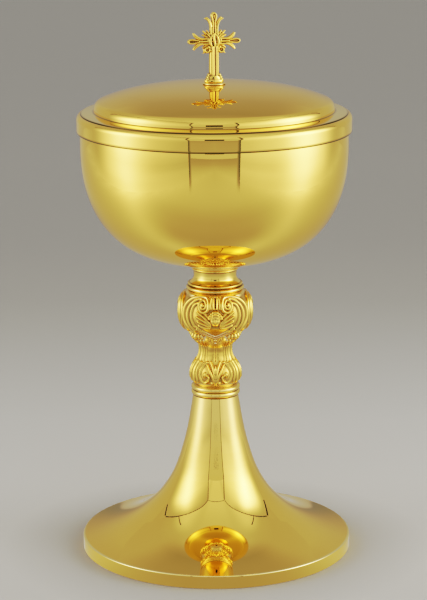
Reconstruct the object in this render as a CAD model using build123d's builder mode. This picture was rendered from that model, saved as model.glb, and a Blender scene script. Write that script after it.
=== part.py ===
from build123d import *
import os
from math import atan2, cos, hypot, pi, sin, sqrt

os.makedirs("parts", exist_ok=True)

# A covered, footed pyx (ciborium form): spun cup and cover, cast knop, spun
# trumpet foot, all pulled together by one rod through the stem.
# Millimetres, +Z up, origin on the standing plane under the foot's axis.

# ---------------------------------------------------------------- dimensions
OVERALL_H = 250.0        # standing plane to the tip of the cross
WALL_CUP = 1.2           # spun wall of cup and foot
WALL_LID = 1.0           # spun wall of the cover
FIT = 0.05               # soldered and stacked faces

# foot
FOOT_R = 62.55           # outside of the skirt
FOOT_SKIRT_TOP = 5.55    # where the skirt starts to roll over into the plate
FOOT_TOP = 72.9          # top of the trumpet neck
FOOT_PROFILE = [         # trumpet, neck to rim (r, z)
    (10.5, 72.9), (11.0, 69.6), (11.6, 66.0), (12.65, 60.0), (13.9, 54.0),
    (15.5, 48.0), (18.0, 40.1), (20.5, 34.3), (23.5, 29.2), (27.0, 24.5),
    (31.0, 20.45), (35.4, 16.9), (40.35, 13.8), (46.35, 10.95), (52.35, 8.75),
    (57.9, 7.15), (62.0, 6.12),
]
BUSH_BOTTOM = 61.2       # underside of the turned bush in the neck
RIM_RING_H = 3.6         # stiffening ring inside the skirt
RIM_RING_W = 1.8

# stem
ROD_R = 3.0              # M6 tie rod, thread drawn plain
ROD_BORE = 3.3           # clearance bore through the stacked stem pieces
ROD_BOTTOM, ROD_TOP = 49.6, 133.4
RING_TOP = 78.2          # twin-bead ring between foot and knop
KNOP_TOP = 123.0
COLLAR_RING_TOP = 125.0
NUT_AF, NUT_H = 10.0, 5.0

# cup
BOWL_PROFILE = [         # outside, axis to lip (r, z)
    (0.0, 136.2), (12.0, 136.5), (23.6, 137.85), (32.0, 140.2), (38.6, 143.25),
    (43.95, 146.8), (48.3, 150.9), (52.3, 156.0), (55.15, 161.0),
    (57.6, 167.0), (59.25, 173.0), (60.25, 179.0), (60.8, 185.0),
    (60.95, 191.0), (60.8, 196.6), (60.35, 203.5),
]
LIP_TOP = 204.1

# cover
LID_R = 62.4             # outside of the cover's band
LID_SKIRT_Z = 196.6      # lower edge of the band
LID_BAND_TOP = 202.2     # where the band rolls over
LID_LEDGE_R, LID_LEDGE_Z = 60.8, 205.15
LID_WALL_R = 54.5        # riser between ledge and dome
LID_TOP = 217.6          # apex of the dome
LID_SHOULDER = 3.8       # rounding between riser and dome
STUD_R = 1.5             # M3 stud under the cross

# finial
FINIAL_BASE_TOP = 218.75 # top of the disc the cross stands on
CROSS_Z = 237.0          # crossing of the arms
CROSS_TURN = 13 * pi / 180   # the cover sits turned by this much, so the cross does
ARM_REACH = 12.2         # crossing to the tip of an arm
PLATE_T = 2.2            # thickness of the cast arms


# ------------------------------------------------------------------- helpers
def inset(points, wall):
    """Points moved to the right of their own direction of travel by wall."""
    out = []
    last = len(points) - 1
    for i, (r, z) in enumerate(points):
        a, b = points[max(i - 1, 0)], points[min(i + 1, last)]
        if 0 < i < last:
            # slope of the parabola through three neighbours
            la, lb = hypot(r - a[0], z - a[1]), hypot(b[0] - r, b[1] - z)
            dr = ((r - a[0]) / la * lb + (b[0] - r) / lb * la) / (la + lb)
            dz = ((z - a[1]) / la * lb + (b[1] - z) / lb * la) / (la + lb)
        else:
            dr, dz = b[0] - a[0], b[1] - a[1]
        n = hypot(dr, dz)
        out.append((r + wall * dz / n, z - wall * dr / n))
    return out


# The dome is flatter than a sphere over its middle and falls faster towards a
# rounded shoulder on the riser: it drops DOME_A r^2 + DOME_B r^4 from its apex.
DOME_A, DOME_B = 1.386e-3, 4.56e-7
SH_C = LID_WALL_R - LID_SHOULDER


def dome_z(r):
    """Height of the outside of the dome at r."""
    return LID_TOP - DOME_A * r ** 2 - DOME_B * r ** 4


def dome_fall(r):
    """Angle by which the dome falls at r."""
    return atan2(2 * DOME_A * r + 4 * DOME_B * r ** 3, 1.0)


def under_dome(r, wall):
    """Point wall below the outside of the dome, square to it at r."""
    return (r - wall * sin(dome_fall(r)), dome_z(r) - wall * cos(dome_fall(r)))


# the shoulder's round takes over where it has the same slope as the dome
SH_A = 0.35
for _ in range(40):
    SH_A = dome_fall(SH_C + LID_SHOULDER * sin(SH_A))
SH_TOP = (SH_C + LID_SHOULDER * sin(SH_A), dome_z(SH_C + LID_SHOULDER * sin(SH_A)))
SH_Z = SH_TOP[1] - LID_SHOULDER * cos(SH_A)
SH_MID = (SH_C + LID_SHOULDER * sin((SH_A + pi / 2) / 2),
          SH_Z + LID_SHOULDER * cos((SH_A + pi / 2) / 2))
DOME_STEPS = (9.0, 18.0, 26.0, 33.0, 40.0, 46.0)


# ----------------------------------------------------------------------- lid
STUD_HOLE = 1.6
with BuildPart() as lid_shell:
    with BuildSketch(Plane.XZ):
        with BuildLine():
            w = WALL_LID
            inner_sh = LID_SHOULDER - w
            # outside
            Line((STUD_HOLE, dome_z(STUD_HOLE) - w), (STUD_HOLE, dome_z(STUD_HOLE)))
            Spline((STUD_HOLE, dome_z(STUD_HOLE)), *[(r, dome_z(r)) for r in DOME_STEPS], SH_TOP,
                   tangents=((cos(dome_fall(STUD_HOLE)), -sin(dome_fall(STUD_HOLE))), (cos(SH_A), -sin(SH_A))))
            ThreePointArc(SH_TOP, SH_MID, (LID_WALL_R, SH_Z))
            Line((LID_WALL_R, SH_Z), (LID_WALL_R, LID_LEDGE_Z + 0.8))
            ThreePointArc((LID_WALL_R, LID_LEDGE_Z + 0.8),
                          (LID_WALL_R + 0.8 * (1 - cos(pi / 4)), LID_LEDGE_Z + 0.8 * (1 - sin(pi / 4))),
                          (LID_WALL_R + 0.8, LID_LEDGE_Z))
            Line((LID_WALL_R + 0.8, LID_LEDGE_Z), (LID_LEDGE_R, LID_LEDGE_Z))
            # band rolls over as a quarter ellipse, then falls straight
            EllipticalCenterArc((LID_LEDGE_R, LID_BAND_TOP), LID_R - LID_LEDGE_R,
                                LID_LEDGE_Z - LID_BAND_TOP, start_angle=0, arc_size=90)
            Line((LID_R, LID_BAND_TOP), (LID_R, LID_SKIRT_Z + 0.45))
            ThreePointArc((LID_R, LID_SKIRT_Z + 0.45),
                          (LID_R - 0.5 + 0.5 * cos(pi / 4), LID_SKIRT_Z + 0.45 * (1 - sin(pi / 4))),
                          (LID_R - 0.5, LID_SKIRT_Z))
            Line((LID_R - 0.5, LID_SKIRT_Z), (LID_R - w, LID_SKIRT_Z))
            # inside
            Line((LID_R - w, LID_SKIRT_Z), (LID_R - w, LID_BAND_TOP + 1.0))
            ThreePointArc((LID_R - w, LID_BAND_TOP + 1.0),
                          (LID_R - w - 0.95 * (1 - cos(pi / 4)), LID_BAND_TOP + 1.0 + 0.95 * sin(pi / 4)),
                          (LID_R - w - 0.95, LID_LEDGE_Z - w))
            Line((LID_R - w - 0.95, LID_LEDGE_Z - w), (LID_WALL_R + 0.2, LID_LEDGE_Z - w))
            ThreePointArc((LID_WALL_R + 0.2, LID_LEDGE_Z - w),
                          (LID_WALL_R - 0.75, LID_LEDGE_Z - w + 0.35),
                          (LID_WALL_R - w, LID_LEDGE_Z + 0.3))
            Line((LID_WALL_R - w, LID_LEDGE_Z + 0.3), (LID_WALL_R - w, SH_Z))
            ThreePointArc((LID_WALL_R - w, SH_Z),
                          (SH_C + inner_sh * sin((SH_A + pi / 2) / 2), SH_Z + inner_sh * cos((SH_A + pi / 2) / 2)),
                          (SH_C + inner_sh * sin(SH_A), SH_Z + inner_sh * cos(SH_A)))
            Spline((SH_C + inner_sh * sin(SH_A), SH_Z + inner_sh * cos(SH_A)),
                   *[under_dome(r, w) for r in reversed(DOME_STEPS)], (STUD_HOLE, dome_z(STUD_HOLE) - w),
                   tangents=((-cos(SH_A), sin(SH_A)), (-cos(dome_fall(STUD_HOLE)), sin(dome_fall(STUD_HOLE)))))
        make_face()
    revolve(axis=Axis.Z)
lid_shell.part.label = "lid_shell"
export_step(lid_shell.part, "parts/lid_shell.step")

# thin turned disc under the cross, on a low neck that leaves a shadow line
with BuildPart() as finial_base:
    with BuildSketch(Plane.XZ):
        with BuildLine():
            Polyline((STUD_HOLE, LID_TOP), (4.3, LID_TOP), (4.3, LID_TOP + 0.35), (4.85, LID_TOP + 0.35))
            ThreePointArc((4.85, LID_TOP + 0.35), (5.2, LID_TOP + 0.7), (4.85, LID_TOP + 1.05))
            Polyline((4.85, LID_TOP + 1.05), (3.6, FINIAL_BASE_TOP), (STUD_HOLE, FINIAL_BASE_TOP), (STUD_HOLE, LID_TOP))
        make_face()
    revolve(axis=Axis.Z)
finial_base.part.label = "finial_base"
export_step(finial_base.part, "parts/finial_base.step")

# cast cross: round fluted shaft with small side volutes at its foot, arms
# ending in three leaves, leaf sprays in the four angles, a boss at the crossing.
# Its broad face stands a little turned from the front.
CROSS_PLANE = Plane(origin=(0, 0, 0), x_dir=(cos(CROSS_TURN), sin(CROSS_TURN), 0),
                    z_dir=(sin(CROSS_TURN), -cos(CROSS_TURN), 0))
STUD_TOP = FINIAL_BASE_TOP + 8.0
LEAVES = [               # centre across and up from the crossing, half sizes, tilt
    (0.0, OVERALL_H - CROSS_Z - 2.0, 2.0, 1.3, 90), (2.6, 9.5, 1.9, 0.85, 40), (-2.6, 9.5, 1.9, 0.85, 140),
    (ARM_REACH - 1.9, 0.0, 1.9, 1.15, 0), (8.1, 2.5, 2.0, 0.85, 41), (8.1, -2.5, 2.0, 0.85, -41),
    (-ARM_REACH + 1.9, 0.0, 1.9, 1.15, 0), (-8.1, 2.5, 2.0, 0.85, 139), (-8.1, -2.5, 2.0, 0.85, -139),
    (3.5, 3.5, 2.3, 1.4, 45), (-3.5, 3.5, 2.3, 1.4, 135), (-3.5, -3.5, 2.3, 1.4, 225), (3.5, -3.5, 2.3, 1.4, 315),
]
with BuildPart() as finial_cross:
    with BuildSketch(CROSS_PLANE):
        with Locations((0, CROSS_Z)):
            Rectangle(18.0, 2.9)
            Circle(3.4)
        with Locations((0, CROSS_Z + 4.6)):
            Rectangle(3.9, 9.2)
        with Locations((0, CROSS_Z - 2.5)):
            Rectangle(4.0, 5.0)
        for across, up, half_long, half_short, tilt in LEAVES:
            with Locations(Location((across, CROSS_Z + up), tilt)):
                Ellipse(half_long, half_short)
        # side volutes at the foot of the shaft
        with Locations((2.5, FINIAL_BASE_TOP + 1.6), (-2.5, FINIAL_BASE_TOP + 1.6)):
            Circle(1.35)
    extrude(amount=PLATE_T / 2, both=True)
    # boss at the crossing, front and back
    with BuildSketch(CROSS_PLANE):
        with Locations((0, CROSS_Z)):
            Circle(2.4)
    extrude(amount=1.9, both=True)
    # shaft
    with BuildSketch(Plane.XZ):
        with BuildLine():
            Polyline((0, FINIAL_BASE_TOP), (2.2, FINIAL_BASE_TOP), (2.2, FINIAL_BASE_TOP + 3.0),
                     (2.05, FINIAL_BASE_TOP + 3.4), (2.05, CROSS_Z - 3.2), (1.6, CROSS_Z - 1.5),
                     (0, CROSS_Z - 1.5), (0, FINIAL_BASE_TOP))
        make_face()
    revolve(axis=Axis.Z)
    # tapped hole for the stud
    with BuildSketch(Plane.XY.offset(FINIAL_BASE_TOP)):
        Circle(STUD_R + 0.02)
    extrude(amount=8.2, mode=Mode.SUBTRACT)
finial_cross.part.label = "finial_cross"
export_step(finial_cross.part, "parts/finial_cross.step")

# stud, washer and nut that hold the cross to the cover from inside
STUD_BOTTOM = 211.4
with BuildPart() as finial_stud:
    with BuildSketch(Plane.XY.offset(STUD_BOTTOM)):
        Circle(STUD_R)
    extrude(amount=STUD_TOP - STUD_BOTTOM)
    chamfer(finial_stud.edges().filter_by(GeomType.CIRCLE), 0.3)
finial_stud.part.label = "finial_stud"
export_step(finial_stud.part, "parts/finial_stud.step")

LID_WASHER_TOP = LID_TOP - WALL_LID - 0.12
with BuildPart() as finial_washer:
    with BuildSketch(Plane.XY.offset(LID_WASHER_TOP - 0.8)):
        Circle(5.0)
        Circle(STUD_HOLE, mode=Mode.SUBTRACT)
    extrude(amount=0.8)
    fillet(finial_washer.edges().filter_by(GeomType.CIRCLE).group_by(SortBy.RADIUS)[-1], 0.2)
finial_washer.part.label = "finial_washer"
export_step(finial_washer.part, "parts/finial_washer.step")

LID_NUT_TOP = LID_WASHER_TOP - 0.8
with BuildPart() as finial_nut:
    with BuildSketch(Plane.XY.offset(LID_NUT_TOP - 2.4)):
        RegularPolygon(radius=5.5 / 2, side_count=6, major_radius=False)
        Circle(STUD_R + 0.02, mode=Mode.SUBTRACT)
    extrude(amount=2.4)
    # turned bevel on both faces of the hexagon
    with BuildSketch(Plane.XZ):
        with BuildLine():
            Polyline((0, LID_NUT_TOP), (2.7, LID_NUT_TOP), (3.3, LID_NUT_TOP - 0.36), (3.3, LID_NUT_TOP - 2.04),
                     (2.7, LID_NUT_TOP - 2.4), (0, LID_NUT_TOP - 2.4), (0, LID_NUT_TOP))
        make_face()
    revolve(axis=Axis.Z, mode=Mode.INTERSECT)
finial_nut.part.label = "finial_nut"
export_step(finial_nut.part, "parts/finial_nut.step")

# ----------------------------------------------------------------------- cup
BOWL_IN = inset(BOWL_PROFILE[1:], -WALL_CUP)
with BuildPart() as bowl:
    with BuildSketch(Plane.XZ):
        with BuildLine():
            lip_r = (BOWL_PROFILE[-1][0] + BOWL_IN[-1][0]) / 2
            Spline(*BOWL_PROFILE, tangents=[(1, 0), (-0.065, 1)])
            ThreePointArc(BOWL_PROFILE[-1], (lip_r, LIP_TOP), BOWL_IN[-1])
            Spline(*(BOWL_IN[::-1] + [(0, BOWL_PROFILE[0][1] + WALL_CUP)]), tangents=[(0.065, -1), (-1, 0)])
            Line((0, BOWL_PROFILE[0][1] + WALL_CUP), BOWL_PROFILE[0])
        make_face()
    revolve(axis=Axis.Z)
bowl.part.label = "bowl"
export_step(bowl.part, "parts/bowl.step")

# tapped boss soldered under the cup; the rod screws into it
BOSS_TOP = BOWL_PROFILE[0][1] - FIT
with BuildPart() as bowl_boss:
    with BuildSketch(Plane.XZ):
        with BuildLine():
            Polyline((0, BOSS_TOP), (8.8, BOSS_TOP), (8.8, BOSS_TOP - 1.6), (5.8, BOSS_TOP - 1.6),
                     (5.8, 126.8), (5.2, 126.2), (ROD_R + 0.02, 126.2), (ROD_R + 0.02, ROD_TOP + 0.4),
                     (0, ROD_TOP + 1.2), (0, BOSS_TOP))
        make_face()
    revolve(axis=Axis.Z)
bowl_boss.part.label = "bowl_boss"
export_step(bowl_boss.part, "parts/bowl_boss.step")

# turned collar: rounded flange under the cup, small bead, hollow neck, bead below
with BuildPart() as bowl_collar:
    with BuildSketch(Plane.XZ):
        with BuildLine():
            Line((8.9, 136.2), (13.1, 136.05))
            ThreePointArc((13.1, 136.05), (13.85, 135.35), (13.1, 134.65))
            Line((13.1, 134.65), (11.2, 134.45))
            ThreePointArc((11.2, 134.45), (10.56, 134.19), (10.3, 133.55))
            ThreePointArc((10.3, 133.55), (10.75, 132.95), (10.2, 132.4))
            Spline((10.2, 132.4), (9.95, 131.2), (9.85, 129.9), (9.95, 128.9), (10.3, 128.1), (10.9, 127.35), (11.7, 126.7))
            Line((11.7, 126.7), (12.2, 126.55))
            ThreePointArc((12.2, 126.55), (12.65, 126.0), (12.2, 125.45))
            Polyline((12.2, 125.45), (11.9, COLLAR_RING_TOP), (5.95, COLLAR_RING_TOP), (5.95, 134.4), (8.9, 134.4), (8.9, 136.2))
        make_face()
    revolve(axis=Axis.Z)
bowl_collar.part.label = "bowl_collar"
export_step(bowl_collar.part, "parts/bowl_collar.step")

# thin bead ring between collar and knop
with BuildPart() as collar_ring:
    with BuildSketch(Plane.XZ):
        with BuildLine():
            Polyline((ROD_BORE, COLLAR_RING_TOP), (12.6, COLLAR_RING_TOP))
            ThreePointArc((12.6, COLLAR_RING_TOP), (13.35, 124.2), (12.6, 123.4))
            Polyline((12.6, 123.4), (12.2, KNOP_TOP), (ROD_BORE, KNOP_TOP), (ROD_BORE, COLLAR_RING_TOP))
        make_face()
    revolve(axis=Axis.Z)
collar_ring.part.label = "collar_ring"
export_step(collar_ring.part, "parts/collar_ring.step")

# ---------------------------------------------------------------------- stem
# cast knop: broad upper bulb, waist, small lower bulb
with BuildPart() as knop:
    with BuildSketch(Plane.XZ):
        with BuildLine():
            Line((ROD_BORE, KNOP_TOP), (12.6, KNOP_TOP))
            Spline((12.6, KNOP_TOP), (14.2, 122.0), (15.4, 120.6), (16.4, 119.0), (17.0, 117.2), (17.4, 115.2),
                   (17.55, 113.0), (17.35, 110.6), (16.9, 108.6), (16.1, 106.8), (14.9, 105.2), (13.2, 103.9),
                   (11.6, 102.9))
            ThreePointArc((11.6, 102.9), (11.25, 101.0), (10.4, 99.4))
            Spline((10.4, 99.4), (9.0, 98.2), (8.1, 97.1), (7.7, 95.0), (7.9, 92.6), (8.7, 90.6), (9.8, 89.0),
                   (11.0, 87.3), (11.8, 85.4), (12.0, 83.2), (11.8, 81.2), (11.0, 79.6), (9.8, 78.6))
            Polyline((9.8, 78.6), (9.5, RING_TOP), (ROD_BORE, RING_TOP), (ROD_BORE, KNOP_TOP))
        make_face()
    revolve(axis=Axis.Z)
knop.part.label = "knop"
export_step(knop.part, "parts/knop.step")

# twin-bead ring between knop and foot
with BuildPart() as stem_ring:
    with BuildSketch(Plane.XZ):
        with BuildLine():
            Polyline((ROD_BORE, FOOT_TOP), (10.45, FOOT_TOP), (10.55, 73.25))
            ThreePointArc((10.55, 73.25), (11.25, 74.5), (10.55, 75.7))
            ThreePointArc((10.55, 75.7), (11.3, 76.75), (10.5, 77.65))
            Polyline((10.5, 77.65), (10.2, 77.75), (10.2, 78.0), (9.6, RING_TOP), (ROD_BORE, RING_TOP), (ROD_BORE, FOOT_TOP))
        make_face()
    revolve(axis=Axis.Z)
stem_ring.part.label = "stem_ring"
export_step(stem_ring.part, "parts/stem_ring.step")

# rod from the boss under the cup to the nut in the foot
with BuildPart() as tie_rod:
    with BuildSketch(Plane.XY.offset(ROD_BOTTOM)):
        Circle(ROD_R)
    extrude(amount=ROD_TOP - ROD_BOTTOM)
    chamfer(tie_rod.edges().filter_by(GeomType.CIRCLE), 0.6)
tie_rod.part.label = "tie_rod"
export_step(tie_rod.part, "parts/tie_rod.step")

# ---------------------------------------------------------------------- foot
FOOT_IN = inset(FOOT_PROFILE[3:], WALL_CUP)     # underside of trumpet and plate
NECK_IN = (FOOT_PROFILE[0][0] - WALL_CUP, FOOT_TOP)
with BuildPart() as foot:
    with BuildSketch(Plane.XZ):
        with BuildLine():
            Spline(*FOOT_PROFILE)
            end = FOOT_PROFILE[-1]
            ThreePointArc(end, (FOOT_R - 0.13, 5.93), (FOOT_R, FOOT_SKIRT_TOP))
            Polyline((FOOT_R, FOOT_SKIRT_TOP), (FOOT_R, 0.35), (FOOT_R - 0.35, 0), (FOOT_R - WALL_CUP, 0),
                     (FOOT_R - WALL_CUP, 4.7))
            ThreePointArc((FOOT_R - WALL_CUP, 4.7), (FOOT_R - WALL_CUP - 0.15, 4.98), (FOOT_R - WALL_CUP - 0.5, 5.12))
            Line((FOOT_R - WALL_CUP - 0.5, 5.12), FOOT_IN[-2])
            Spline(*FOOT_IN[-2::-1])
            # straight taper in the neck for the bush
            Line(FOOT_IN[0], NECK_IN)
            Line(NECK_IN, FOOT_PROFILE[0])
        make_face()
    revolve(axis=Axis.Z)
foot.part.label = "foot"
export_step(foot.part, "parts/foot.step")


def neck_r(z):
    """Inside radius of the foot's tapered neck."""
    return NECK_IN[0] + (FOOT_TOP - z) * (FOOT_IN[0][0] - NECK_IN[0]) / (FOOT_TOP - FOOT_IN[0][1])


# turned bush soldered in the neck; the nut pulls against it
with BuildPart() as foot_bush:
    with BuildSketch(Plane.XZ):
        with BuildLine():
            Polyline((ROD_BORE, FOOT_TOP), (neck_r(FOOT_TOP) - FIT, FOOT_TOP),
                     (neck_r(BUSH_BOTTOM) - FIT, BUSH_BOTTOM), (ROD_BORE, BUSH_BOTTOM), (ROD_BORE, FOOT_TOP))
        make_face()
    revolve(axis=Axis.Z)
foot_bush.part.label = "foot_bush"
export_step(foot_bush.part, "parts/foot_bush.step")

# flat washer, split spring washer and nut on the lower end of the rod
WASHER_T, SPRING_T = 1.6, 1.6
with BuildPart() as foot_washer:
    with BuildSketch(Plane.XY.offset(BUSH_BOTTOM - WASHER_T)):
        Circle(9.0)
        Circle(3.2, mode=Mode.SUBTRACT)
    extrude(amount=WASHER_T)
    fillet(foot_washer.edges().filter_by(GeomType.CIRCLE).group_by(SortBy.RADIUS)[-1], 0.3)
foot_washer.part.label = "foot_washer"
export_step(foot_washer.part, "parts/foot_washer.step")

SPRING_TOP = BUSH_BOTTOM - WASHER_T
with BuildPart() as spring_washer:
    with BuildSketch(Plane.XY.offset(SPRING_TOP - SPRING_T)):
        Circle(5.6)
        Circle(3.15, mode=Mode.SUBTRACT)
        with Locations(Location((4.4, 0), 25)):
            Rectangle(4.0, 0.7, mode=Mode.SUBTRACT)
    extrude(amount=SPRING_T)
spring_washer.part.label = "spring_washer"
export_step(spring_washer.part, "parts/spring_washer.step")

NUT_TOP = SPRING_TOP - SPRING_T
with BuildPart() as foot_nut:
    with BuildSketch(Plane.XY.offset(NUT_TOP - NUT_H)):
        RegularPolygon(radius=NUT_AF / 2, side_count=6, major_radius=False)
        Circle(ROD_R + 0.02, mode=Mode.SUBTRACT)
    extrude(amount=NUT_H)
    with BuildSketch(Plane.XZ):
        with BuildLine():
            Polyline((0, NUT_TOP), (4.9, NUT_TOP), (6.0, NUT_TOP - 0.64), (6.0, NUT_TOP - NUT_H + 0.64),
                     (4.9, NUT_TOP - NUT_H), (0, NUT_TOP - NUT_H), (0, NUT_TOP))
        make_face()
    revolve(axis=Axis.Z, mode=Mode.INTERSECT)
foot_nut.part.label = "foot_nut"
export_step(foot_nut.part, "parts/foot_nut.step")

# stiffening ring soldered inside the skirt, just clear of the standing plane
with BuildPart() as foot_rim_ring:
    with BuildSketch(Plane.XY.offset(0.3)):
        Circle(FOOT_R - WALL_CUP - FIT)
        Circle(FOOT_R - WALL_CUP - FIT - RIM_RING_W, mode=Mode.SUBTRACT)
    extrude(amount=RIM_RING_H)
    fillet(foot_rim_ring.edges().filter_by(GeomType.CIRCLE).group_by(SortBy.RADIUS)[0], 0.5)
foot_rim_ring.part.label = "foot_rim_ring"
export_step(foot_rim_ring.part, "parts/foot_rim_ring.step")
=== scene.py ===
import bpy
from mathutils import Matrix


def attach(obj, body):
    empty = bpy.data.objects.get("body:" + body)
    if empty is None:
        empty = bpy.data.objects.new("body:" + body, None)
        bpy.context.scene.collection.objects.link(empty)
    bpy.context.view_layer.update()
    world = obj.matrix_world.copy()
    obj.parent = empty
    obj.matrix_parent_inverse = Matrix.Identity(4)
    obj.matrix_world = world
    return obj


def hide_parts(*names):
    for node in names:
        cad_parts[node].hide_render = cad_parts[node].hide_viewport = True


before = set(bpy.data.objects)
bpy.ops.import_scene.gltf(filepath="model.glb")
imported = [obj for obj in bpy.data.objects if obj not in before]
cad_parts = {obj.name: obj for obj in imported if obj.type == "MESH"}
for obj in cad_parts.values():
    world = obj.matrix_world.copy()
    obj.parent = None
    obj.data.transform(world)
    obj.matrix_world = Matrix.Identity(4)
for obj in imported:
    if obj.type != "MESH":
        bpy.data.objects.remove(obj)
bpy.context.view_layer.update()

from math import atan2, cos, hypot, pi, radians, sin, sqrt, tan

import bpy
import numpy as np
from mathutils import Matrix, Vector

# A covered, footed pyx (ciborium form) in polished gold plate. Profiles are in
# millimetres, the same numbers as the construction; meshes are made in metres.
MM = 0.001
scene = bpy.context.scene


# ------------------------------------------------------------- profile curves
def line(a, b, n=2):
    t = np.linspace(0.0, 1.0, n)[:, None]
    return np.array(a, float) * (1 - t) + np.array(b, float) * t


def arc(a, m, b, n=12):
    """Circle arc from a through m to b."""
    (ax, ay), (mx, my), (bx, by) = a, m, b
    d = 2 * (ax * (my - by) + mx * (by - ay) + bx * (ay - my))
    ux = ((ax * ax + ay * ay) * (my - by) + (mx * mx + my * my) * (by - ay) + (bx * bx + by * by) * (ay - my)) / d
    uy = ((ax * ax + ay * ay) * (bx - mx) + (mx * mx + my * my) * (ax - bx) + (bx * bx + by * by) * (mx - ax)) / d
    a0, am, a1 = (atan2(y - uy, x - ux) for x, y in (a, m, b))
    turn = (a1 - a0) % (2 * pi)
    if (am - a0) % (2 * pi) > turn:
        turn -= 2 * pi
    t = a0 + turn * np.linspace(0.0, 1.0, n)
    r = hypot(ax - ux, ay - uy)
    return np.stack([ux + r * np.cos(t), uy + r * np.sin(t)], 1)


def ellipse(c, rx, ry, a0, a1, n=16):
    t = np.radians(np.linspace(a0, a1, n))
    return np.stack([c[0] + rx * np.cos(t), c[1] + ry * np.sin(t)], 1)


def spline(points, n, start=None, end=None):
    """Smooth curve through the points, n samples evenly along it."""
    p = np.array(points, float)
    h = np.hypot(*np.diff(p, axis=0).T)
    k = len(p)
    a, b = np.zeros((k, k)), np.zeros((k, 2))
    for i in range(1, k - 1):
        a[i, i - 1], a[i, i], a[i, i + 1] = h[i], 2 * (h[i - 1] + h[i]), h[i - 1]
        b[i] = 3 * (h[i] * (p[i] - p[i - 1]) / h[i - 1] + h[i - 1] * (p[i + 1] - p[i]) / h[i])
    if start is None:
        a[0, 0], a[0, 1], b[0] = 2, 1, 3 * (p[1] - p[0]) / h[0]
    else:
        a[0, 0], b[0] = 1, np.array(start, float) / hypot(*start)
    if end is None:
        a[-1, -1], a[-1, -2], b[-1] = 2, 1, 3 * (p[-1] - p[-2]) / h[-1]
    else:
        a[-1, -1], b[-1] = 1, np.array(end, float) / hypot(*end)
    d = np.linalg.solve(a, b)
    t = np.r_[0, np.cumsum(h)]
    x = np.linspace(0, t[-1], n)
    i = np.clip(np.searchsorted(t, x, side="right") - 1, 0, k - 2)
    s = ((x - t[i]) / h[i])[:, None]
    hh = h[i][:, None]
    return ((2 * s**3 - 3 * s**2 + 1) * p[i] + (s**3 - 2 * s**2 + s) * hh * d[i]
            + (-2 * s**3 + 3 * s**2) * p[i + 1] + (s**3 - s**2) * hh * d[i + 1])


def inset(points, wall):
    """Points moved to the right of their own direction of travel by wall."""
    out, last = [], len(points) - 1
    for i, (r, z) in enumerate(points):
        a, b = points[max(i - 1, 0)], points[min(i + 1, last)]
        if 0 < i < last:
            la, lb = hypot(r - a[0], z - a[1]), hypot(b[0] - r, b[1] - z)
            dr = ((r - a[0]) / la * lb + (b[0] - r) / lb * la) / (la + lb)
            dz = ((z - a[1]) / la * lb + (b[1] - z) / lb * la) / (la + lb)
        else:
            dr, dz = b[0] - a[0], b[1] - a[1]
        n = hypot(dr, dz)
        out.append((r + wall * dz / n, z - wall * dr / n))
    return out


# ---------------------------------------------------------------- mesh makers
def add_object(name, mesh):
    obj = bpy.data.objects.new(name, mesh)
    scene.collection.objects.link(obj)
    return obj


def mesh_object(name, verts, faces, normals=None):
    """verts in mm. normals, one for each face corner, keep a turned surface's shading exact."""
    mesh = bpy.data.meshes.new(name)
    mesh.from_pydata((np.asarray(verts) * MM).tolist(), [], faces)
    mesh.polygons.foreach_set("use_smooth", np.ones(len(mesh.polygons), bool))
    mesh.update()
    if normals is not None:
        mesh.normals_split_custom_set(np.asarray(normals).tolist())
    return add_object(name, mesh)


def turned(name, runs, seg=288):
    """A lathe-turned piece. runs are the profile's smooth stretches (r, z) in order; where two meet is an edge."""
    runs = [np.asarray(r, float) for r in runs]
    whole = np.vstack(runs)
    if np.sum(whole[:, 0] * np.roll(whole[:, 1], -1) - np.roll(whole[:, 0], -1) * whole[:, 1]) < 0:
        runs = [r[::-1] for r in runs[::-1]]
    closed = np.allclose(runs[0][0], runs[-1][-1])
    rings = [runs[0][0]]
    spans = []
    for r in runs:
        spans.append(np.arange(len(rings) - 1, len(rings) - 1 + len(r)))
        rings.extend(r[1:])
    if closed:
        rings.pop()
        spans[-1][-1] = 0
    ang = np.arange(seg) * 2 * pi / seg
    ca, sa = np.cos(ang), np.sin(ang)
    verts, first = [], []
    for r, z in rings:
        first.append(len(verts))
        if r < 1e-9:
            verts.append((0.0, 0.0, z))
        else:
            verts.extend(zip(r * ca, r * sa, [z] * seg))
    faces, normals = [], []
    for run, span in zip(runs, spans):
        step = np.hypot(*np.diff(run, axis=0).T)
        t = np.r_[0, np.cumsum(step)]
        order = 2 if len(run) > 2 else 1
        dr = np.gradient(run[:, 0], t, edge_order=order)
        dz = np.gradient(run[:, 1], t, edge_order=order)
        n = np.stack([dz, -dr], 1) / np.hypot(dr, dz)[:, None]
        for k in range(len(run) - 1):
            a, b = first[span[k]], first[span[k + 1]]
            pole_a, pole_b = run[k][0] < 1e-9, run[k + 1][0] < 1e-9
            na = np.stack([n[k][0] * ca, n[k][0] * sa, np.full(seg, n[k][1])], 1)
            nb = np.stack([n[k + 1][0] * ca, n[k + 1][0] * sa, np.full(seg, n[k + 1][1])], 1)
            for j in range(seg):
                q = (j + 1) % seg
                if pole_a:
                    faces.append((a, b + q, b + j))
                    normals += [na[j], nb[q], nb[j]]
                elif pole_b:
                    faces.append((a + j, a + q, b))
                    normals += [na[j], na[q], nb[j]]
                else:
                    faces.append((a + j, a + q, b + q, b + j))
                    normals += [na[j], na[q], nb[q], nb[j]]
    return mesh_object(name, verts, faces, normals)


def settle(obj, body, slot, *nodes):
    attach(obj, body)
    if nodes:
        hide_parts(*nodes)
    return obj


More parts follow.
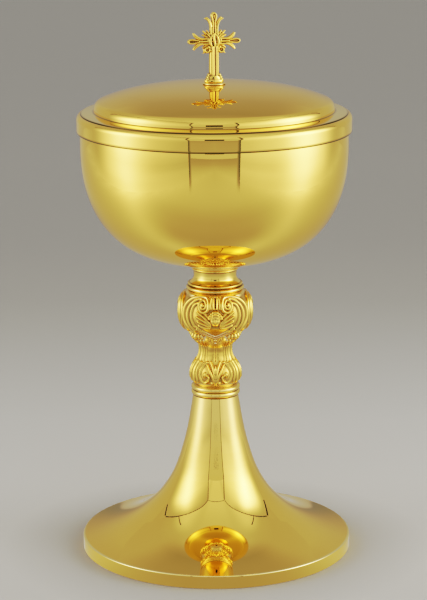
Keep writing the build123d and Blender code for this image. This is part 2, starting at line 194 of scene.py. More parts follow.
# ------------------------------------------------------------------ the cover
def paint_shade_and_light(obj, marks, painted_light=()):
    """Paints shade as fine dark lines in the gaps and corners where turned parts meet: (r, z, half width, strength),
    and paints light as paler bands: (r0, r1, z0, z1, strength).
    """
    co = np.zeros(len(obj.data.vertices) * 3)
    obj.data.vertices.foreach_get("co", co)
    x, y, z = co.reshape(-1, 3).T / MM
    r = np.hypot(x, y)
    dark = np.zeros(len(r))
    for r0, z0, half, much in marks:
        dark = np.maximum(dark, much * np.exp(-(((r - r0) ** 2 + (z - z0) ** 2) / half**2) ** 2))
    light = np.zeros(len(r))
    for r0, r1, z0, z1, much in painted_light:
        light = np.maximum(light, much * ((r > r0) & (r < r1) & (z > z0) & (z < z1)))
    for name, values in (("painted_shade", dark), ("painted_light", light)):
        att = obj.data.attributes.new(name, "FLOAT", "POINT")
        att.data.foreach_set("value", values.astype(np.float32))


LID_R, SKIRT_Z, BAND_TOP = 62.4, 196.6, 202.2
LEDGE_R, LEDGE_Z, WALL_R = 60.8, 205.15, 54.5
LID_TOP, SHOULDER, WALL_LID = 217.6, 3.8, 1.0
STUD_HOLE = 1.6
DOME_A, DOME_B = 1.386e-3, 4.56e-7
SH_C = WALL_R - SHOULDER


def dome_fall(r):
    return np.arctan(2 * DOME_A * r + 4 * DOME_B * r**3)


def dome(r, drop):
    """Points drop below the outside of the dome, square to it at r."""
    r = np.asarray(r, float)
    f = dome_fall(r)
    return np.stack([r - drop * np.sin(f), LID_TOP - DOME_A * r**2 - DOME_B * r**4 - drop * np.cos(f)], 1)


SH_A = 0.35
for _ in range(40):
    SH_A = float(dome_fall(SH_C + SHOULDER * sin(SH_A)))
SH_R = SH_C + SHOULDER * sin(SH_A)
SH_Z = float(dome([SH_R], 0)[0, 1]) - SHOULDER * cos(SH_A)


def on_shoulder(r, a):
    return (SH_C + r * sin(a), SH_Z + r * cos(a))


w = WALL_LID
top_out, top_in = dome(np.linspace(STUD_HOLE, SH_R, 80), 0), dome(np.linspace(SH_R, STUD_HOLE, 60), w)
top_in[-1, 0] = STUD_HOLE
mid_a = (SH_A + pi / 2) / 2
STEP_Z, STEP_R, COVE = 205.8, 60.3, 0.3
cover = turned("cover_shell", [
    np.vstack([
        top_out,
        arc(on_shoulder(SHOULDER, SH_A), on_shoulder(SHOULDER, mid_a), on_shoulder(SHOULDER, pi / 2), 30)[1:],
        line((WALL_R, SH_Z), (WALL_R, STEP_Z + COVE), 4)[1:],
        arc((WALL_R, STEP_Z + COVE), (WALL_R + COVE * 0.32, STEP_Z + COVE * 0.27), (WALL_R + COVE, STEP_Z - 0.03), 6)[1:],
        line((WALL_R + COVE, STEP_Z - 0.03), (STEP_R - 0.12, LEDGE_Z + 0.02), 9)[1:],
        arc((STEP_R - 0.12, LEDGE_Z + 0.02), (STEP_R - 0.03, LEDGE_Z - 0.03), (STEP_R, LEDGE_Z - 0.12), 5)[1:],
    ]),
    line((STEP_R, LEDGE_Z - 0.12), (STEP_R, LEDGE_Z - 0.38), 4),
    np.vstack([
        ellipse((STEP_R, BAND_TOP), LID_R - STEP_R, LEDGE_Z - 0.38 - BAND_TOP, 90, 0, 30),
        line((LID_R, BAND_TOP), (LID_R, SKIRT_Z + 0.45), 7)[1:],
        arc((LID_R, SKIRT_Z + 0.45), (LID_R - 0.5 + 0.5 * cos(pi / 4), SKIRT_Z + 0.45 * (1 - sin(pi / 4))),
            (LID_R - 0.5, SKIRT_Z), 9)[1:],
    ]),
    line((LID_R - 0.5, SKIRT_Z), (LID_R - w, SKIRT_Z)),
    np.vstack([
        line((LID_R - w, SKIRT_Z), (LID_R - w, BAND_TOP + 1.0), 7),
        arc((LID_R - w, BAND_TOP + 1.0), (LID_R - w - 0.95 * (1 - cos(pi / 4)), BAND_TOP + 1.0 + 0.95 * sin(pi / 4)),
            (LID_R - w - 0.95, LEDGE_Z - w), 8)[1:],
        line((LID_R - w - 0.95, LEDGE_Z - w), (WALL_R + 0.2, LEDGE_Z - w), 6)[1:],
        arc((WALL_R + 0.2, LEDGE_Z - w), (WALL_R - 0.75, LEDGE_Z - w + 0.35), (WALL_R - w, LEDGE_Z + 0.3), 8)[1:],
        line((WALL_R - w, LEDGE_Z + 0.3), (WALL_R - w, SH_Z), 3)[1:],
        arc(on_shoulder(SHOULDER - w, pi / 2), on_shoulder(SHOULDER - w, mid_a), on_shoulder(SHOULDER - w, SH_A), 14)[1:],
        top_in[1:],
    ]),
    line(top_in[-1], top_out[0]),
])
# painted shade: dark lines in the cove, at the edge of the step and along the skirt's lower edge; painted light: a
# paler band over the ledge
paint_shade_and_light(cover, [(WALL_R + 0.1, STEP_Z + 0.1, 0.26, 0.6), (STEP_R, LEDGE_Z - 0.24, 0.28, 0.97), (LID_R - 0.2, SKIRT_Z + 0.08, 0.6, 0.97)],
      [(WALL_R + 0.15, STEP_R - 0.1, 204.9, 206.1, 0.9)])
settle(cover, "lid", "gold_polished", "lid_shell")

BASE_TOP = 218.75
disc = turned("cross_base", [
    line((STUD_HOLE, LID_TOP), (4.75, LID_TOP), 8),
    arc((4.75, LID_TOP), (5.15, LID_TOP + 0.36), (4.8, LID_TOP + 0.76), 14),
    line((4.8, LID_TOP + 0.76), (3.9, BASE_TOP), 5),
    line((3.9, BASE_TOP), (STUD_HOLE, BASE_TOP)),
    line((STUD_HOLE, BASE_TOP), (STUD_HOLE, LID_TOP)),
], 96)
# painted shade: a dark line where the disc sits on the dome; painted light: its rounded edge a little paler
paint_shade_and_light(disc, [(4.75, LID_TOP, 0.3, 0.95)], [(3.0, 6.0, 217.0, 219.0, 0.5)])
settle(disc, "lid", "gold_polished", "finial_base")

# -------------------------------------------------------------------- the cup
BOWL_PROFILE = [
    (0.0, 136.2), (12.0, 136.5), (23.6, 137.85), (32.0, 140.2), (38.6, 143.25), (43.95, 146.8), (48.3, 150.9),
    (52.3, 156.0), (55.15, 161.0), (57.6, 167.0), (59.25, 173.0), (60.25, 179.0), (60.8, 185.0), (60.95, 191.0),
    (60.8, 196.6), (60.35, 203.5),
]
WALL_CUP = 1.2
BOWL_IN = inset(BOWL_PROFILE[1:], -WALL_CUP)
lip = ((BOWL_PROFILE[-1][0] + BOWL_IN[-1][0]) / 2, 204.1)
cup = turned("cup_shell", [np.vstack([
    spline(BOWL_PROFILE, 150, (1, 0), (-0.065, 1)),
    arc(BOWL_PROFILE[-1], lip, BOWL_IN[-1], 12)[1:],
    spline(BOWL_IN[::-1] + [(0, BOWL_PROFILE[0][1] + WALL_CUP)], 110, (0.065, -1), (-1, 0))[1:],
])])
settle(cup, "base", "gold_polished", "bowl")

# ----------------------------------------------------------- collar and rings
collar = turned("collar_turned", [
    line((8.9, 136.2), (13.1, 136.05), 3),
    arc((13.1, 136.05), (13.85, 135.35), (13.1, 134.65), 18),
    line((13.1, 134.65), (11.2, 134.45), 4),
    arc((11.2, 134.45), (10.56, 134.19), (10.3, 133.55), 10),
    arc((10.3, 133.55), (10.75, 132.95), (10.2, 132.4), 14),
    spline([(10.2, 132.4), (9.95, 131.2), (9.85, 129.9), (9.95, 128.9), (10.3, 128.1), (10.9, 127.35), (11.7, 126.7)], 34),
    line((11.7, 126.7), (12.2, 126.55)),
    arc((12.2, 126.55), (12.65, 126.0), (12.2, 125.45), 12),
    line((12.2, 125.45), (11.9, 125.0)),
    line((11.9, 125.0), (5.95, 125.0)),
    line((5.95, 125.0), (5.95, 134.4)),
    line((5.95, 134.4), (8.9, 134.4)),
    line((8.9, 134.4), (8.9, 136.2)),
], 160)
# painted shade: dark lines under the flange, in the groove below the bead and round the lower bead; painted light: the
# outside a touch paler
paint_shade_and_light(collar, [(13.1, 134.6, 0.35, 0.75), (10.25, 132.4, 0.3, 0.75), (11.95, 126.65, 0.3, 0.6), (12.0, 125.2, 0.35, 0.65)],
      [(9.0, 14.0, 125.0, 136.0, 0.05)])
settle(collar, "base", "gold_polished", "bowl_collar")

bead = turned("collar_bead", [
    line((3.3, 125.0), (12.6, 125.0)),
    arc((12.6, 125.0), (13.35, 124.2), (12.6, 123.4), 16),
    line((12.6, 123.4), (12.2, 123.0)),
    line((12.2, 123.0), (3.3, 123.0)),
    line((3.3, 123.0), (3.3, 125.0)),
], 160)
# painted shade: dark lines at its upper and lower edges; painted light: its rim paler
paint_shade_and_light(bead, [(12.6, 125.0, 0.25, 0.5), (12.4, 123.2, 0.35, 0.75)], [(12.0, 14.0, 123.0, 125.0, 0.3)])
settle(bead, "base", "gold_polished", "collar_ring")

beads = turned("stem_beads", [
    line((3.3, 72.9), (10.45, 72.9)),
    line((10.45, 72.9), (10.55, 73.25)),
    arc((10.55, 73.25), (11.25, 74.5), (10.55, 75.7), 18),
    arc((10.55, 75.7), (11.3, 76.9), (10.45, 78.0), 18),
    line((10.45, 78.0), (9.6, 78.2)),
    line((9.6, 78.2), (3.3, 78.2)),
    line((3.3, 78.2), (3.3, 72.9)),
], 160)
# painted shade: dark lines at the foot, between the two beads and at the top; painted light: the beads paler
paint_shade_and_light(beads, [(10.5, 73.05, 0.35, 0.85), (10.55, 75.7, 0.28, 0.85), (9.9, 78.13, 0.3, 0.85)],
      [(9.0, 12.0, 72.9, 78.2, 0.25)])
settle(beads, "base", "gold_polished", "stem_ring")

# ------------------------------------------------------------------- the foot
FOOT_R, FOOT_SKIRT_TOP = 62.55, 5.55
FOOT_PROFILE = [
    (10.5, 72.9), (11.0, 69.6), (11.6, 66.0), (12.65, 60.0), (13.9, 54.0), (15.5, 48.0), (18.0, 40.1), (20.5, 34.3),
    (23.5, 29.2), (27.0, 24.5), (31.0, 20.45), (35.4, 16.9), (40.35, 13.8), (46.35, 10.95), (52.35, 8.75), (57.9, 7.15),
    (62.0, 6.12),
]
FOOT_IN = inset(FOOT_PROFILE[3:], WALL_CUP)
NECK_IN = (FOOT_PROFILE[0][0] - WALL_CUP, 72.9)
foot = turned("trumpet_foot", [
    spline(FOOT_PROFILE, 170),
    arc(FOOT_PROFILE[-1], (FOOT_R - 0.13, 5.93), (FOOT_R, FOOT_SKIRT_TOP), 12),
    line((FOOT_R, FOOT_SKIRT_TOP), (FOOT_R, 0.35), 5),
    line((FOOT_R, 0.35), (FOOT_R - 0.35, 0.0)),
    line((FOOT_R - 0.35, 0.0), (FOOT_R - WALL_CUP, 0.0)),
    np.vstack([
        line((FOOT_R - WALL_CUP, 0.0), (FOOT_R - WALL_CUP, 4.7), 4),
        arc((FOOT_R - WALL_CUP, 4.7), (FOOT_R - WALL_CUP - 0.15, 4.98), (FOOT_R - WALL_CUP - 0.5, 5.12), 6)[1:],
    ]),
    line((FOOT_R - WALL_CUP - 0.5, 5.12), FOOT_IN[-2]),
    spline(FOOT_IN[-2::-1], 90),
    line(FOOT_IN[0], NECK_IN),
    line(NECK_IN, FOOT_PROFILE[0]),
])
# painted light: a pale highlight along the rim's rounded edge, and the upper stem of the trumpet painted paler step by
# step towards the top
paint_shade_and_light(foot, [], [(61.9, 62.52, 5.72, 6.2, 0.9)] + [(9.0, 30.0, z, 73.0, 0.03 * q) for q, z in enumerate(range(36, 66, 3), 1)])
settle(foot, "base", "gold_polished", "foot")

# ------------------------------------------------------------ the cast knop
# Relief raised on a turned shape. The ornament repeats three times round the stem and
# mirrors in each third, so it is drawn on a sixth of the turn: angle t from the middle
# of a third (0) to where two thirds meet (60), and height z.
KNOP_PROFILE = [
    (12.6, 123.0), (14.2, 122.0), (15.4, 120.6), (16.4, 119.0), (17.0, 117.2), (17.4, 115.2), (17.55, 113.0),
    (17.35, 110.6), (16.9, 108.6), (16.1, 106.8), (14.9, 105.2), (13.2, 103.9), (11.6, 102.9), (11.25, 101.0),
    (10.4, 99.4), (9.0, 98.2), (8.1, 97.1), (7.7, 95.0), (7.9, 92.6), (8.7, 90.6), (9.8, 89.0), (11.0, 87.3),
    (11.8, 85.4), (12.0, 83.2), (11.8, 81.2), (11.0, 79.6), (9.8, 78.6), (9.5, 78.2),
]
BORE_R = 3.3
K_ROWS, K_COLS = 350, 600
K_STEP = 360.0 / K_COLS
k_prof = spline(KNOP_PROFILE, K_ROWS)
k_r, k_z = k_prof.T
k_s = np.r_[0, np.cumsum(np.hypot(*np.diff(k_prof, axis=0).T))]
k_t = np.radians(np.arange(int(60 / K_STEP) + 1) * K_STEP)
relief = np.repeat(np.interp(k_z, [78.2, 79.0, 80.2, 89.5, 91.0, 98.0, 99.0, 104.0, 105.5, 121.6, 122.5, 123.0],
                             [0.0, 0.0, -0.42, -0.42, -0.28, -0.28, -0.28, -0.32, -0.5, -0.5, -0.1, 0.0])[:, None], len(k_t), 1)


def ease_between(x, lo, hi):
    f = np.clip((np.asarray(x, float) - lo) / (hi - lo), 0, 1)
    return f * f * (3 - 2 * f)


def along(z):
    return np.interp(z, k_z[::-1], k_s[::-1])


def near(t0, t1, s0, s1, reach):
    """Rows and columns of the relief within reach of a patch."""
    i = np.nonzero((k_s > s0 - reach) & (k_s < s1 + reach))[0]
    pad = reach / k_r[i].min()
    j = np.nonzero((k_t > t0 - pad) & (k_t < t1 + pad))[0]
    return i, j


def rib(points, width, crest, low=-0.55, power=0.85, carve=False):
    """Rounded rib along points (t, z). width and crest are (start, end) or one number; carve cuts a groove instead."""
    p = np.array(points, float)
    s = along(p[:, 1])
    flat = np.stack([np.radians(p[:, 0]) * np.interp(s, k_s, k_r), s], 1)
    flat = spline(flat, 14 * len(p)) if len(p) > 2 else line(flat[0], flat[1], 6)
    ps, pt = flat[:, 1], flat[:, 0] / np.interp(flat[:, 1], k_s, k_r)
    w0, w1 = width if isinstance(width, tuple) else (width, width)
    c0, c1 = crest if isinstance(crest, tuple) else (crest, crest)
    i, j = near(pt.min(), pt.max(), ps.min(), ps.max(), max(w0, w1))
    if len(i) == 0 or len(j) == 0:
        return
    r = k_r[i][:, None, None]
    ax, ay = r * (pt[:-1] - k_t[j][None, :, None]), ps[:-1] - k_s[i][:, None, None]
    bx, by = r * (pt[1:] - k_t[j][None, :, None]), ps[1:] - k_s[i][:, None, None]
    dx, dy = bx - ax, by - ay
    u = np.clip(-(ax * dx + ay * dy) / (dx * dx + dy * dy + 1e-12), 0, 1)
    d2 = (ax + u * dx) ** 2 + (ay + u * dy) ** 2
    k = d2.argmin(2)
    pick = np.take_along_axis
    d = np.sqrt(pick(d2, k[..., None], 2)[..., 0])
    f = (k + pick(u, k[..., None], 2)[..., 0]) / (len(pt) - 1)
    rise = np.clip(1 - (d / (w0 + (w1 - w0) * f)) ** 2, 0, 1) ** power
    part = np.ix_(i, j)
    if carve:
        relief[part] -= (c0 + (c1 - c0) * f) * rise
    else:
        c = low + (c0 + (c1 - c0) * f - low) * rise
        relief[part] = np.where(rise > 0, np.maximum(relief[part], c), relief[part])


def boss(t0, z0, wide, high, crest, low=-0.55, power=0.6):
    """Rounded bump, half sizes wide and high."""
    s0 = along(z0)
    i, j = near(np.radians(t0), np.radians(t0), s0, s0, max(wide, high))
    if len(i) == 0 or len(j) == 0:
        return
    x = k_r[i][:, None] * (k_t[j][None, :] - np.radians(t0)) / wide
    y = (k_s[i][:, None] - s0) / high
    rise = np.clip(1 - x * x - y * y, 0, 1) ** power
    part = np.ix_(i, j)
    relief[part] = np.where(rise > 0, np.maximum(relief[part], low + (crest - low) * rise), relief[part])


# big scrolls of the upper bulb, from the eye outwards and down the flank
rib([(20, 118.6), (21.5, 119.5), (23.3, 118.3), (20, 117.1), (16, 117.6), (15.3, 119.2), (20, 120.9), (25.5, 120.3),
     (26.5, 117.5), (20, 115.6), (13, 116.3), (10.8, 118.6), (12.5, 120.9), (17, 122.1), (25, 122.4), (36, 122.0),
     (46, 120.8), (53.5, 118.4), (57.5, 115.2), (57.5, 111.8), (53, 108.6), (46, 106.2), (38, 104.6)], (0.75, 1.35), (0.3, 0.2))
rib([(20, 120.9), (27, 121.4), (33.2, 121.0), (40.5, 119.4), (45.5, 117.2), (48.3, 114), (47.2, 110.9), (43, 108), (38, 105.9)],
    (0.9, 1.15), (0.2, 0.16))
rib([(27, 119.8), (34, 119), (38.8, 116.8), (40.3, 113.8), (39, 110.8), (35.5, 108.3)], (0.8, 1.0), (0.16, 0.08))
boss(20, 118.6, 0.85, 0.85, 0.45)
# where two scrolls meet
rib([(60, 110.0), (60, 105.0)], (0.7, 1.3), (-0.1, 0.1))
# flutes of the shell above the head
for t, c in ((2.75, 0.18), (8.0, 0.12)):
    rib([(t, 122.6), (t * 1.05, 120.0), (t * 0.95, 117.4)], (0.85, 0.7), (c, c - 0.1))
rib([(0, 122.6), (0, 118.0)], 0.45, 0.35, carve=True)
# head with curled hair, small and plain
HEAD_Z = 112.2
boss(0, HEAD_Z, 2.55, 3.3, 0.95, -0.4, 0.55)
for a in (8, 30, 52, 73, 90):
    boss(np.degrees(2.75 * cos(radians(a)) / 17.4), HEAD_Z + 0.3 + 3.3 * sin(radians(a)), 0.85, 0.8, 0.72, -0.2)
for a in (38, 64, 90):
    boss(np.degrees(2.0 * cos(radians(a)) / 17.4), HEAD_Z + 0.2 + 2.5 * sin(radians(a)), 0.6, 0.55, 1.05, 0.2)
fx = k_r[:, None] * k_t[None, :]
fy = -(k_s[:, None] - along(HEAD_Z))


def dab(x, y, wx, wy, amount):
    relief[...] += amount * np.exp(-(((fx - x) / wx) ** 2) - ((fy - y) / wy) ** 2)


dab(0.95, 0.30, 0.52, 0.36, -0.26)
dab(0.95, 0.26, 0.28, 0.17, 0.16)
dab(0.95, 0.86, 0.60, 0.20, 0.10)
dab(0.0, -0.05, 0.30, 0.60, 0.20)
dab(0.0, -0.62, 0.36, 0.26, 0.26)
dab(1.35, -0.75, 0.60, 0.60, 0.10)
dab(0.0, -1.28, 0.62, 0.13, 0.13)
dab(0.0, -1.47, 0.70, 0.09, -0.12)
dab(0.0, -1.66, 0.50, 0.14, 0.12)
dab(0.0, -2.35, 0.60, 0.40, 0.12)
# wings either side
rib([(8.5, 110.4), (17, 113.0), (28.5, 115.4)], (0.85, 0.6), (0.3, 0.0))
rib([(8.5, 109.6), (18, 111.4), (29.5, 113.2)], (0.8, 0.6), (0.25, 0.0))
rib([(9, 108.9), (19, 109.8), (28.5, 110.8)], (0.75, 0.55), (0.2, -0.02))
rib([(12, 113.6), (17, 115.0), (22.5, 116.2)], (0.7, 0.5), (0.1, -0.1))
rib([(10, 107.9), (19, 108.1), (27, 108.8)], (0.65, 0.5), (0.1, -0.08))
# swags, hanging to the middle
rib([(38, 109.4), (28, 107.2), (17, 105.4), (7, 104.0), (0, 103.3)], (0.6, 0.7), (0.05, 0.1))
rib([(33, 106.9), (22, 105.0), (11, 103.2), (0, 101.9)], (0.5, 0.6), (0.0, 0.08))
# pendant
for t, z, a, b, c in ((0, 100.9, 0.75, 0.8, 0.2), (0, 99.3, 0.5, 0.6, 0.12), (4.6, 101.9, 0.5, 0.55, 0.12)):
    boss(t, z, a, b, c, -0.35)
# neck: beads and small rolls
boss(33, 102.5, 0.75, 1.35, 0.62, -0.3)
boss(42, 102.2, 0.85, 1.25, 0.5, -0.3)
boss(54, 101.9, 1.25, 1.45, 0.75, -0.3)
# waist flutes running out over the neck and down to the lower bulb
rib([(29, 100.6), (32, 98.6), (33, 96.0), (33, 93.0), (31, 90.6)], (0.6, 0.55), (0.0, 0.12), -0.3)
rib([(39, 100.2), (41, 98.2), (42, 95.5), (42, 92.5), (39, 90.2)], (0.6, 0.6), (0.0, 0.14), -0.3)
rib([(60, 100.4), (60, 95.0), (60, 90.6)], (1.5, 1.7), (0.15, 0.12), -0.3)
rib([(0, 98.2), (0, 91.0)], 0.42, (0.15, 0.32), carve=True)
# lower bulb: leaves, scrolls and lobes
rib([(0, 88.6), (0, 84.0), (0, 79.8)], (0.5, 0.75), (0.05, 0.2))
rib([(1, 83.2), (4, 86.5), (9, 88.9), (14, 90.2)], (1.0, 0.75), (0.15, 0.12))
rib([(2, 81.2), (9, 84.4), (17, 87.6), (23, 89.0)], (0.9, 0.75), (0.1, 0.18))
rib([(27, 89.8), (33, 88.8), (38.0, 86.1), (38.5, 83.6), (33.5, 81.6), (25, 80.8), (17.5, 81.9), (16, 83.6), (20, 84.4)],
    (0.85, 0.65), (0.2, 0.25))
boss(25.5, 84.6, 1.0, 1.5, 0.12)
boss(25, 90.0, 0.75, 0.7, 0.3)
boss(8, 80.6, 0.9, 0.8, 0.15)
rib([(47, 89.6), (48.5, 85.0), (46.5, 80.6)], (0.95, 0.85), (0.28, 0.2))
rib([(60, 89.8), (60, 85.0), (60, 80.4)], (1.5, 1.4), (0.32, 0.22), -0.5, 0.6)

fade = np.interp(k_z, [78.2, 78.7, 79.6, 122.0, 122.6, 123.0], [0, 0, 1, 1, 0, 0])[:, None]
relief *= 1.25 * fade
turn = np.arange(K_COLS) * K_STEP
sixth = np.rint(np.abs((turn + 60) % 120 - 60) / K_STEP).astype(int)
high = relief[:, sixth]


def soften(f, n):
    """Repeated small blur over the wrapped grid."""
    for _ in range(n):
        f = 0.5 * f + 0.25 * (np.roll(f, 1, 1) + np.roll(f, -1, 1))
        f = 0.5 * f + 0.25 * (np.vstack([f[:1], f[:-1]]) + np.vstack([f[1:], f[-1:]]))
    return f


high = soften(high, 1)
# painted shade: hollow darkens the cast colour in recesses; less of it round the head
hollow = np.clip((soften(high, 26) - high) / 0.6, -1, 1)
hollow -= 0.45 * np.clip(hollow, 0, 1) * np.exp(-((fx / 5.0) ** 2) - ((fy - 1.5) / 4.5) ** 2)[:, sixth]
k_n = np.stack([-np.gradient(k_z, k_s), np.gradient(k_r, k_s)], 1)
k_n /= np.hypot(*k_n.T)[:, None]
ring_r = np.vstack([k_r[:, None] + high * k_n[:, :1], np.full((2, K_COLS), BORE_R)])
ring_z = np.vstack([np.clip(k_z[:, None] + high * k_n[:, 1:], KNOP_PROFILE[-1][1], KNOP_PROFILE[0][1]),
                    np.full((1, K_COLS), KNOP_PROFILE[-1][1]), np.full((1, K_COLS), KNOP_PROFILE[0][1])])
# the middle of each third runs smoothly from the bulb into the waist
flow = spline([(16.45, 107.6), (15.1, 105.6), (13.2, 103.6), (11.3, 101.6), (9.75, 99.6), (8.65, 97.8), (7.95, 96.2), (7.7, 95.0)], 80)
smooth_r = np.interp(k_z, flow[::-1, 1], flow[::-1, 0])
mid_turn = 1 - ease_between(np.abs((turn + 60) % 120 - 60), 14, 38)
share = (ease_between(k_z, 94.0, 96.5) * (1 - ease_between(k_z, 103.6, 107.2)))[:, None] * mid_turn[None, :]
ring_r[:-2] += share * (smooth_r[:, None] + 0.75 * high - ring_r[:-2])
ring_z[:-2] += share * (k_z[:, None] + 0.2 * high - ring_z[:-2])
a = np.radians(turn)
verts = np.stack([ring_r * np.sin(a), -ring_r * np.cos(a), ring_z], 2).reshape(-1, 3)
rows = K_ROWS + 2
i, j = np.meshgrid(np.arange(rows), np.arange(K_COLS), indexing="ij")
i2, j2 = (i + 1) % rows, (j + 1) % K_COLS
quads = np.stack([i * K_COLS + j, i2 * K_COLS + j, i2 * K_COLS + j2, i * K_COLS + j2], 2).reshape(-1, 4)
knop = mesh_object("knop_casting", verts, quads.tolist())
knop.data.set_sharp_from_angle(angle=radians(70))
att = knop.data.attributes.new("hollow", "FLOAT", "POINT")
att.data.foreach_set("value", np.vstack([hollow, np.zeros((2, K_COLS))]).astype(np.float32).ravel())
# painted light: the undersides that face the rest of the stem, a band at the top and the lowest edge are painted paler,
# less so in recesses
painted_light_under = share * (0.95 * ease_between(k_z, 97.2, 99.8) * (1 - ease_between(k_z, 104.5, 107.0)))[:, None]
painted_light_under = np.maximum(painted_light_under, np.maximum(0.2 * ease_between(k_z, 120.6, 122.2), 0.7 * (1 - ease_between(k_z, 78.6, 80.2)))[:, None])
att = knop.data.attributes.new("painted_light", "FLOAT", "POINT")
att.data.foreach_set("value", np.vstack([painted_light_under * np.clip(1 - hollow, 0, 1), np.zeros((2, K_COLS))]).astype(np.float32).ravel())
settle(knop, "base", "gold_cast", "knop")

# ----------------------------------------------------------- the cast cross
# Modelled as bent rods and pads that run into each other, then made one skin.
# u is across, v up from the crossing, depth to the front; the back repeats the front.
CROSS_Z, CROSS_TURN = 237.0, radians(13.0)
c_verts, c_faces = [], []


def add_shell(rings):
    """Closed skin over a stack of rings, each an (m, 3) loop."""
    m, first = len(rings[0]), sum(len(v) for v in c_verts)
    pts = np.vstack(rings + [rings[0].mean(0)[None], rings[-1].mean(0)[None]])
    n = len(rings)
    for q in range(n - 1):
        for k in range(m):
            k2 = (k + 1) % m
            c_faces.append((first + q * m + k, first + q * m + k2, first + (q + 1) * m + k2, first + (q + 1) * m + k))
    for k in range(m):
        k2 = (k + 1) % m
        c_faces.append((first + n * m, first + k2, first + k))
        c_faces.append((first + n * m + 1, first + (n - 1) * m + k, first + (n - 1) * m + k2))
    c_verts.append(pts)


def rod(path, wide, deep, lift=0.0, mirror="u", n=28, m=18):
    """Bent rod along (u, v) points. wide and deep are half sizes at points spread along it; mirror names the copies."""
    p = spline(path, n) if len(path) > 2 else line(path[0], path[1], n)
    x = np.linspace(0, 1, n)
    wd = np.interp(x, np.linspace(0, 1, len(wide)), wide)
    dp = np.interp(x, np.linspace(0, 1, len(deep)), deep)
    t = np.gradient(p, axis=0)
    t /= np.hypot(*t.T)[:, None]
    stack = [(p[0] - t[0] * wd[0] * q, t[0], wd[0] * sqrt(1 - q * q), dp[0] * sqrt(1 - q * q)) for q in (0.98, 0.87, 0.65, 0.35)]
    stack += [(p[k], t[k], wd[k], dp[k]) for k in range(n)]
    stack += [(p[-1] + t[-1] * wd[-1] * q, t[-1], wd[-1] * sqrt(1 - q * q), dp[-1] * sqrt(1 - q * q)) for q in (0.35, 0.65, 0.87, 0.98)]
    g = np.arange(m) * 2 * pi / m
    for su in ((1, -1) if "u" in mirror else (1,)):
        for sv in ((1, -1) if "v" in mirror else (1,)):
            for sd in ((1, -1) if lift else (1,)):
                rings = []
                for c, d, hw, hd in stack:
                    off = np.cos(g) * hw
                    ring = np.stack([c[0] - d[1] * off, c[1] + d[0] * off, np.sin(g) * hd + lift], 1) * (su, sv, sd)
                    rings.append(ring if su * sv * sd > 0 else ring[::-1])
                add_shell(rings)


def pad(u, v, r, deep, lift=0.0, m=24):
    """Round pad with a soft edge, both sides."""
    g = np.arange(m) * 2 * pi / m
    for su in (1, -1):
        for sd in ((1, -1) if lift else (1,)):
            rings = []
            for f, d in ((0.35, -1.0), (0.7, -0.93), (0.92, -0.72), (1.0, -0.4), (1.0, 0.4), (0.92, 0.72), (0.7, 0.93), (0.35, 1.0)):
                ring = np.stack([su * (u + r * f * np.cos(g)), v + r * f * np.sin(g), np.full(m, sd * (lift + d * deep))], 1)
                rings.append(ring if su * sd < 0 else ring[::-1])
            add_shell(rings)


# side arms: three ridges that part into three petals
rod([(0, 0), (6.8, 0)], (1.9, 1.5, 1.2), (1.0, 0.95, 0.8))
rod([(1.0, 0), (6.6, 0)], (0.5, 0.42), (0.6, 0.5), 0.85)
rod([(1.0, 1.35), (4.2, 1.15), (6.0, 1.25), (7.4, 1.85), (8.6, 2.85), (9.3, 3.55)], (0.5, 0.45, 0.42, 0.42, 0.38, 0.3),
    (0.6, 0.55, 0.5, 0.5, 0.42, 0.3), 0.75, "uv")
rod([(5.6, 0.75), (7.0, 1.02), (8.2, 1.65), (9.1, 2.6), (9.5, 3.5)], (0.28, 0.34, 0.36, 0.34, 0.28), (0.5, 0.5, 0.5, 0.4, 0.3), 0.62, "uv")
rod([(5.4, 1.0), (7.2, 1.45), (8.5, 2.35), (9.25, 3.35)], (0.6, 0.75, 0.75, 0.45), (0.75, 0.7, 0.6, 0.4), 0.0, "uv")
rod([(6.0, 0), (9.2, 0), (11.5, 0)], (0.7, 0.95, 0.6), (0.75, 0.72, 0.5))
rod([(6.4, 0.28), (8.4, 0.6), (10.3, 0.8), (11.4, 0.55), (11.82, 0.12)], (0.28, 0.34, 0.36, 0.34, 0.34), (0.45, 0.45, 0.45, 0.4, 0.35), 0.62, "uv")
# top arm
rod([(0, 0), (0, 7.4)], (1.8, 1.6, 1.55), (0.9, 0.85, 0.75), 0.0, "")
rod([(0.62, 1.5), (0.55, 5.5), (0.5, 8.5), (0.95, 10.6), (0.9, 11.9), (0.2, 12.62)], (0.4, 0.38, 0.36, 0.36, 0.36, 0.34),
    (0.6, 0.55, 0.5, 0.45, 0.4, 0.35), 0.78)
rod([(1.62, 2.0), (1.52, 5.5), (1.75, 7.4), (2.45, 9.0), (3.55, 10.0), (4.0, 10.2)], (0.45, 0.42, 0.42, 0.4, 0.34, 0.26),
    (0.6, 0.55, 0.55, 0.5, 0.4, 0.3), 0.75)
rod([(1.1, 6.6), (1.5, 8.3), (2.2, 9.6), (3.3, 10.6)], (0.26, 0.32, 0.34, 0.28), (0.5, 0.5, 0.45, 0.3), 0.6)
rod([(1.2, 6.0), (1.75, 8.2), (2.6, 9.6), (3.6, 10.3)], (0.6, 0.7, 0.7, 0.4), (0.8, 0.75, 0.65, 0.4))
rod([(0, 6.5), (0, 9.5), (0, 11.9)], (0.85, 1.1, 0.75), (0.8, 0.75, 0.5), 0.0, "")
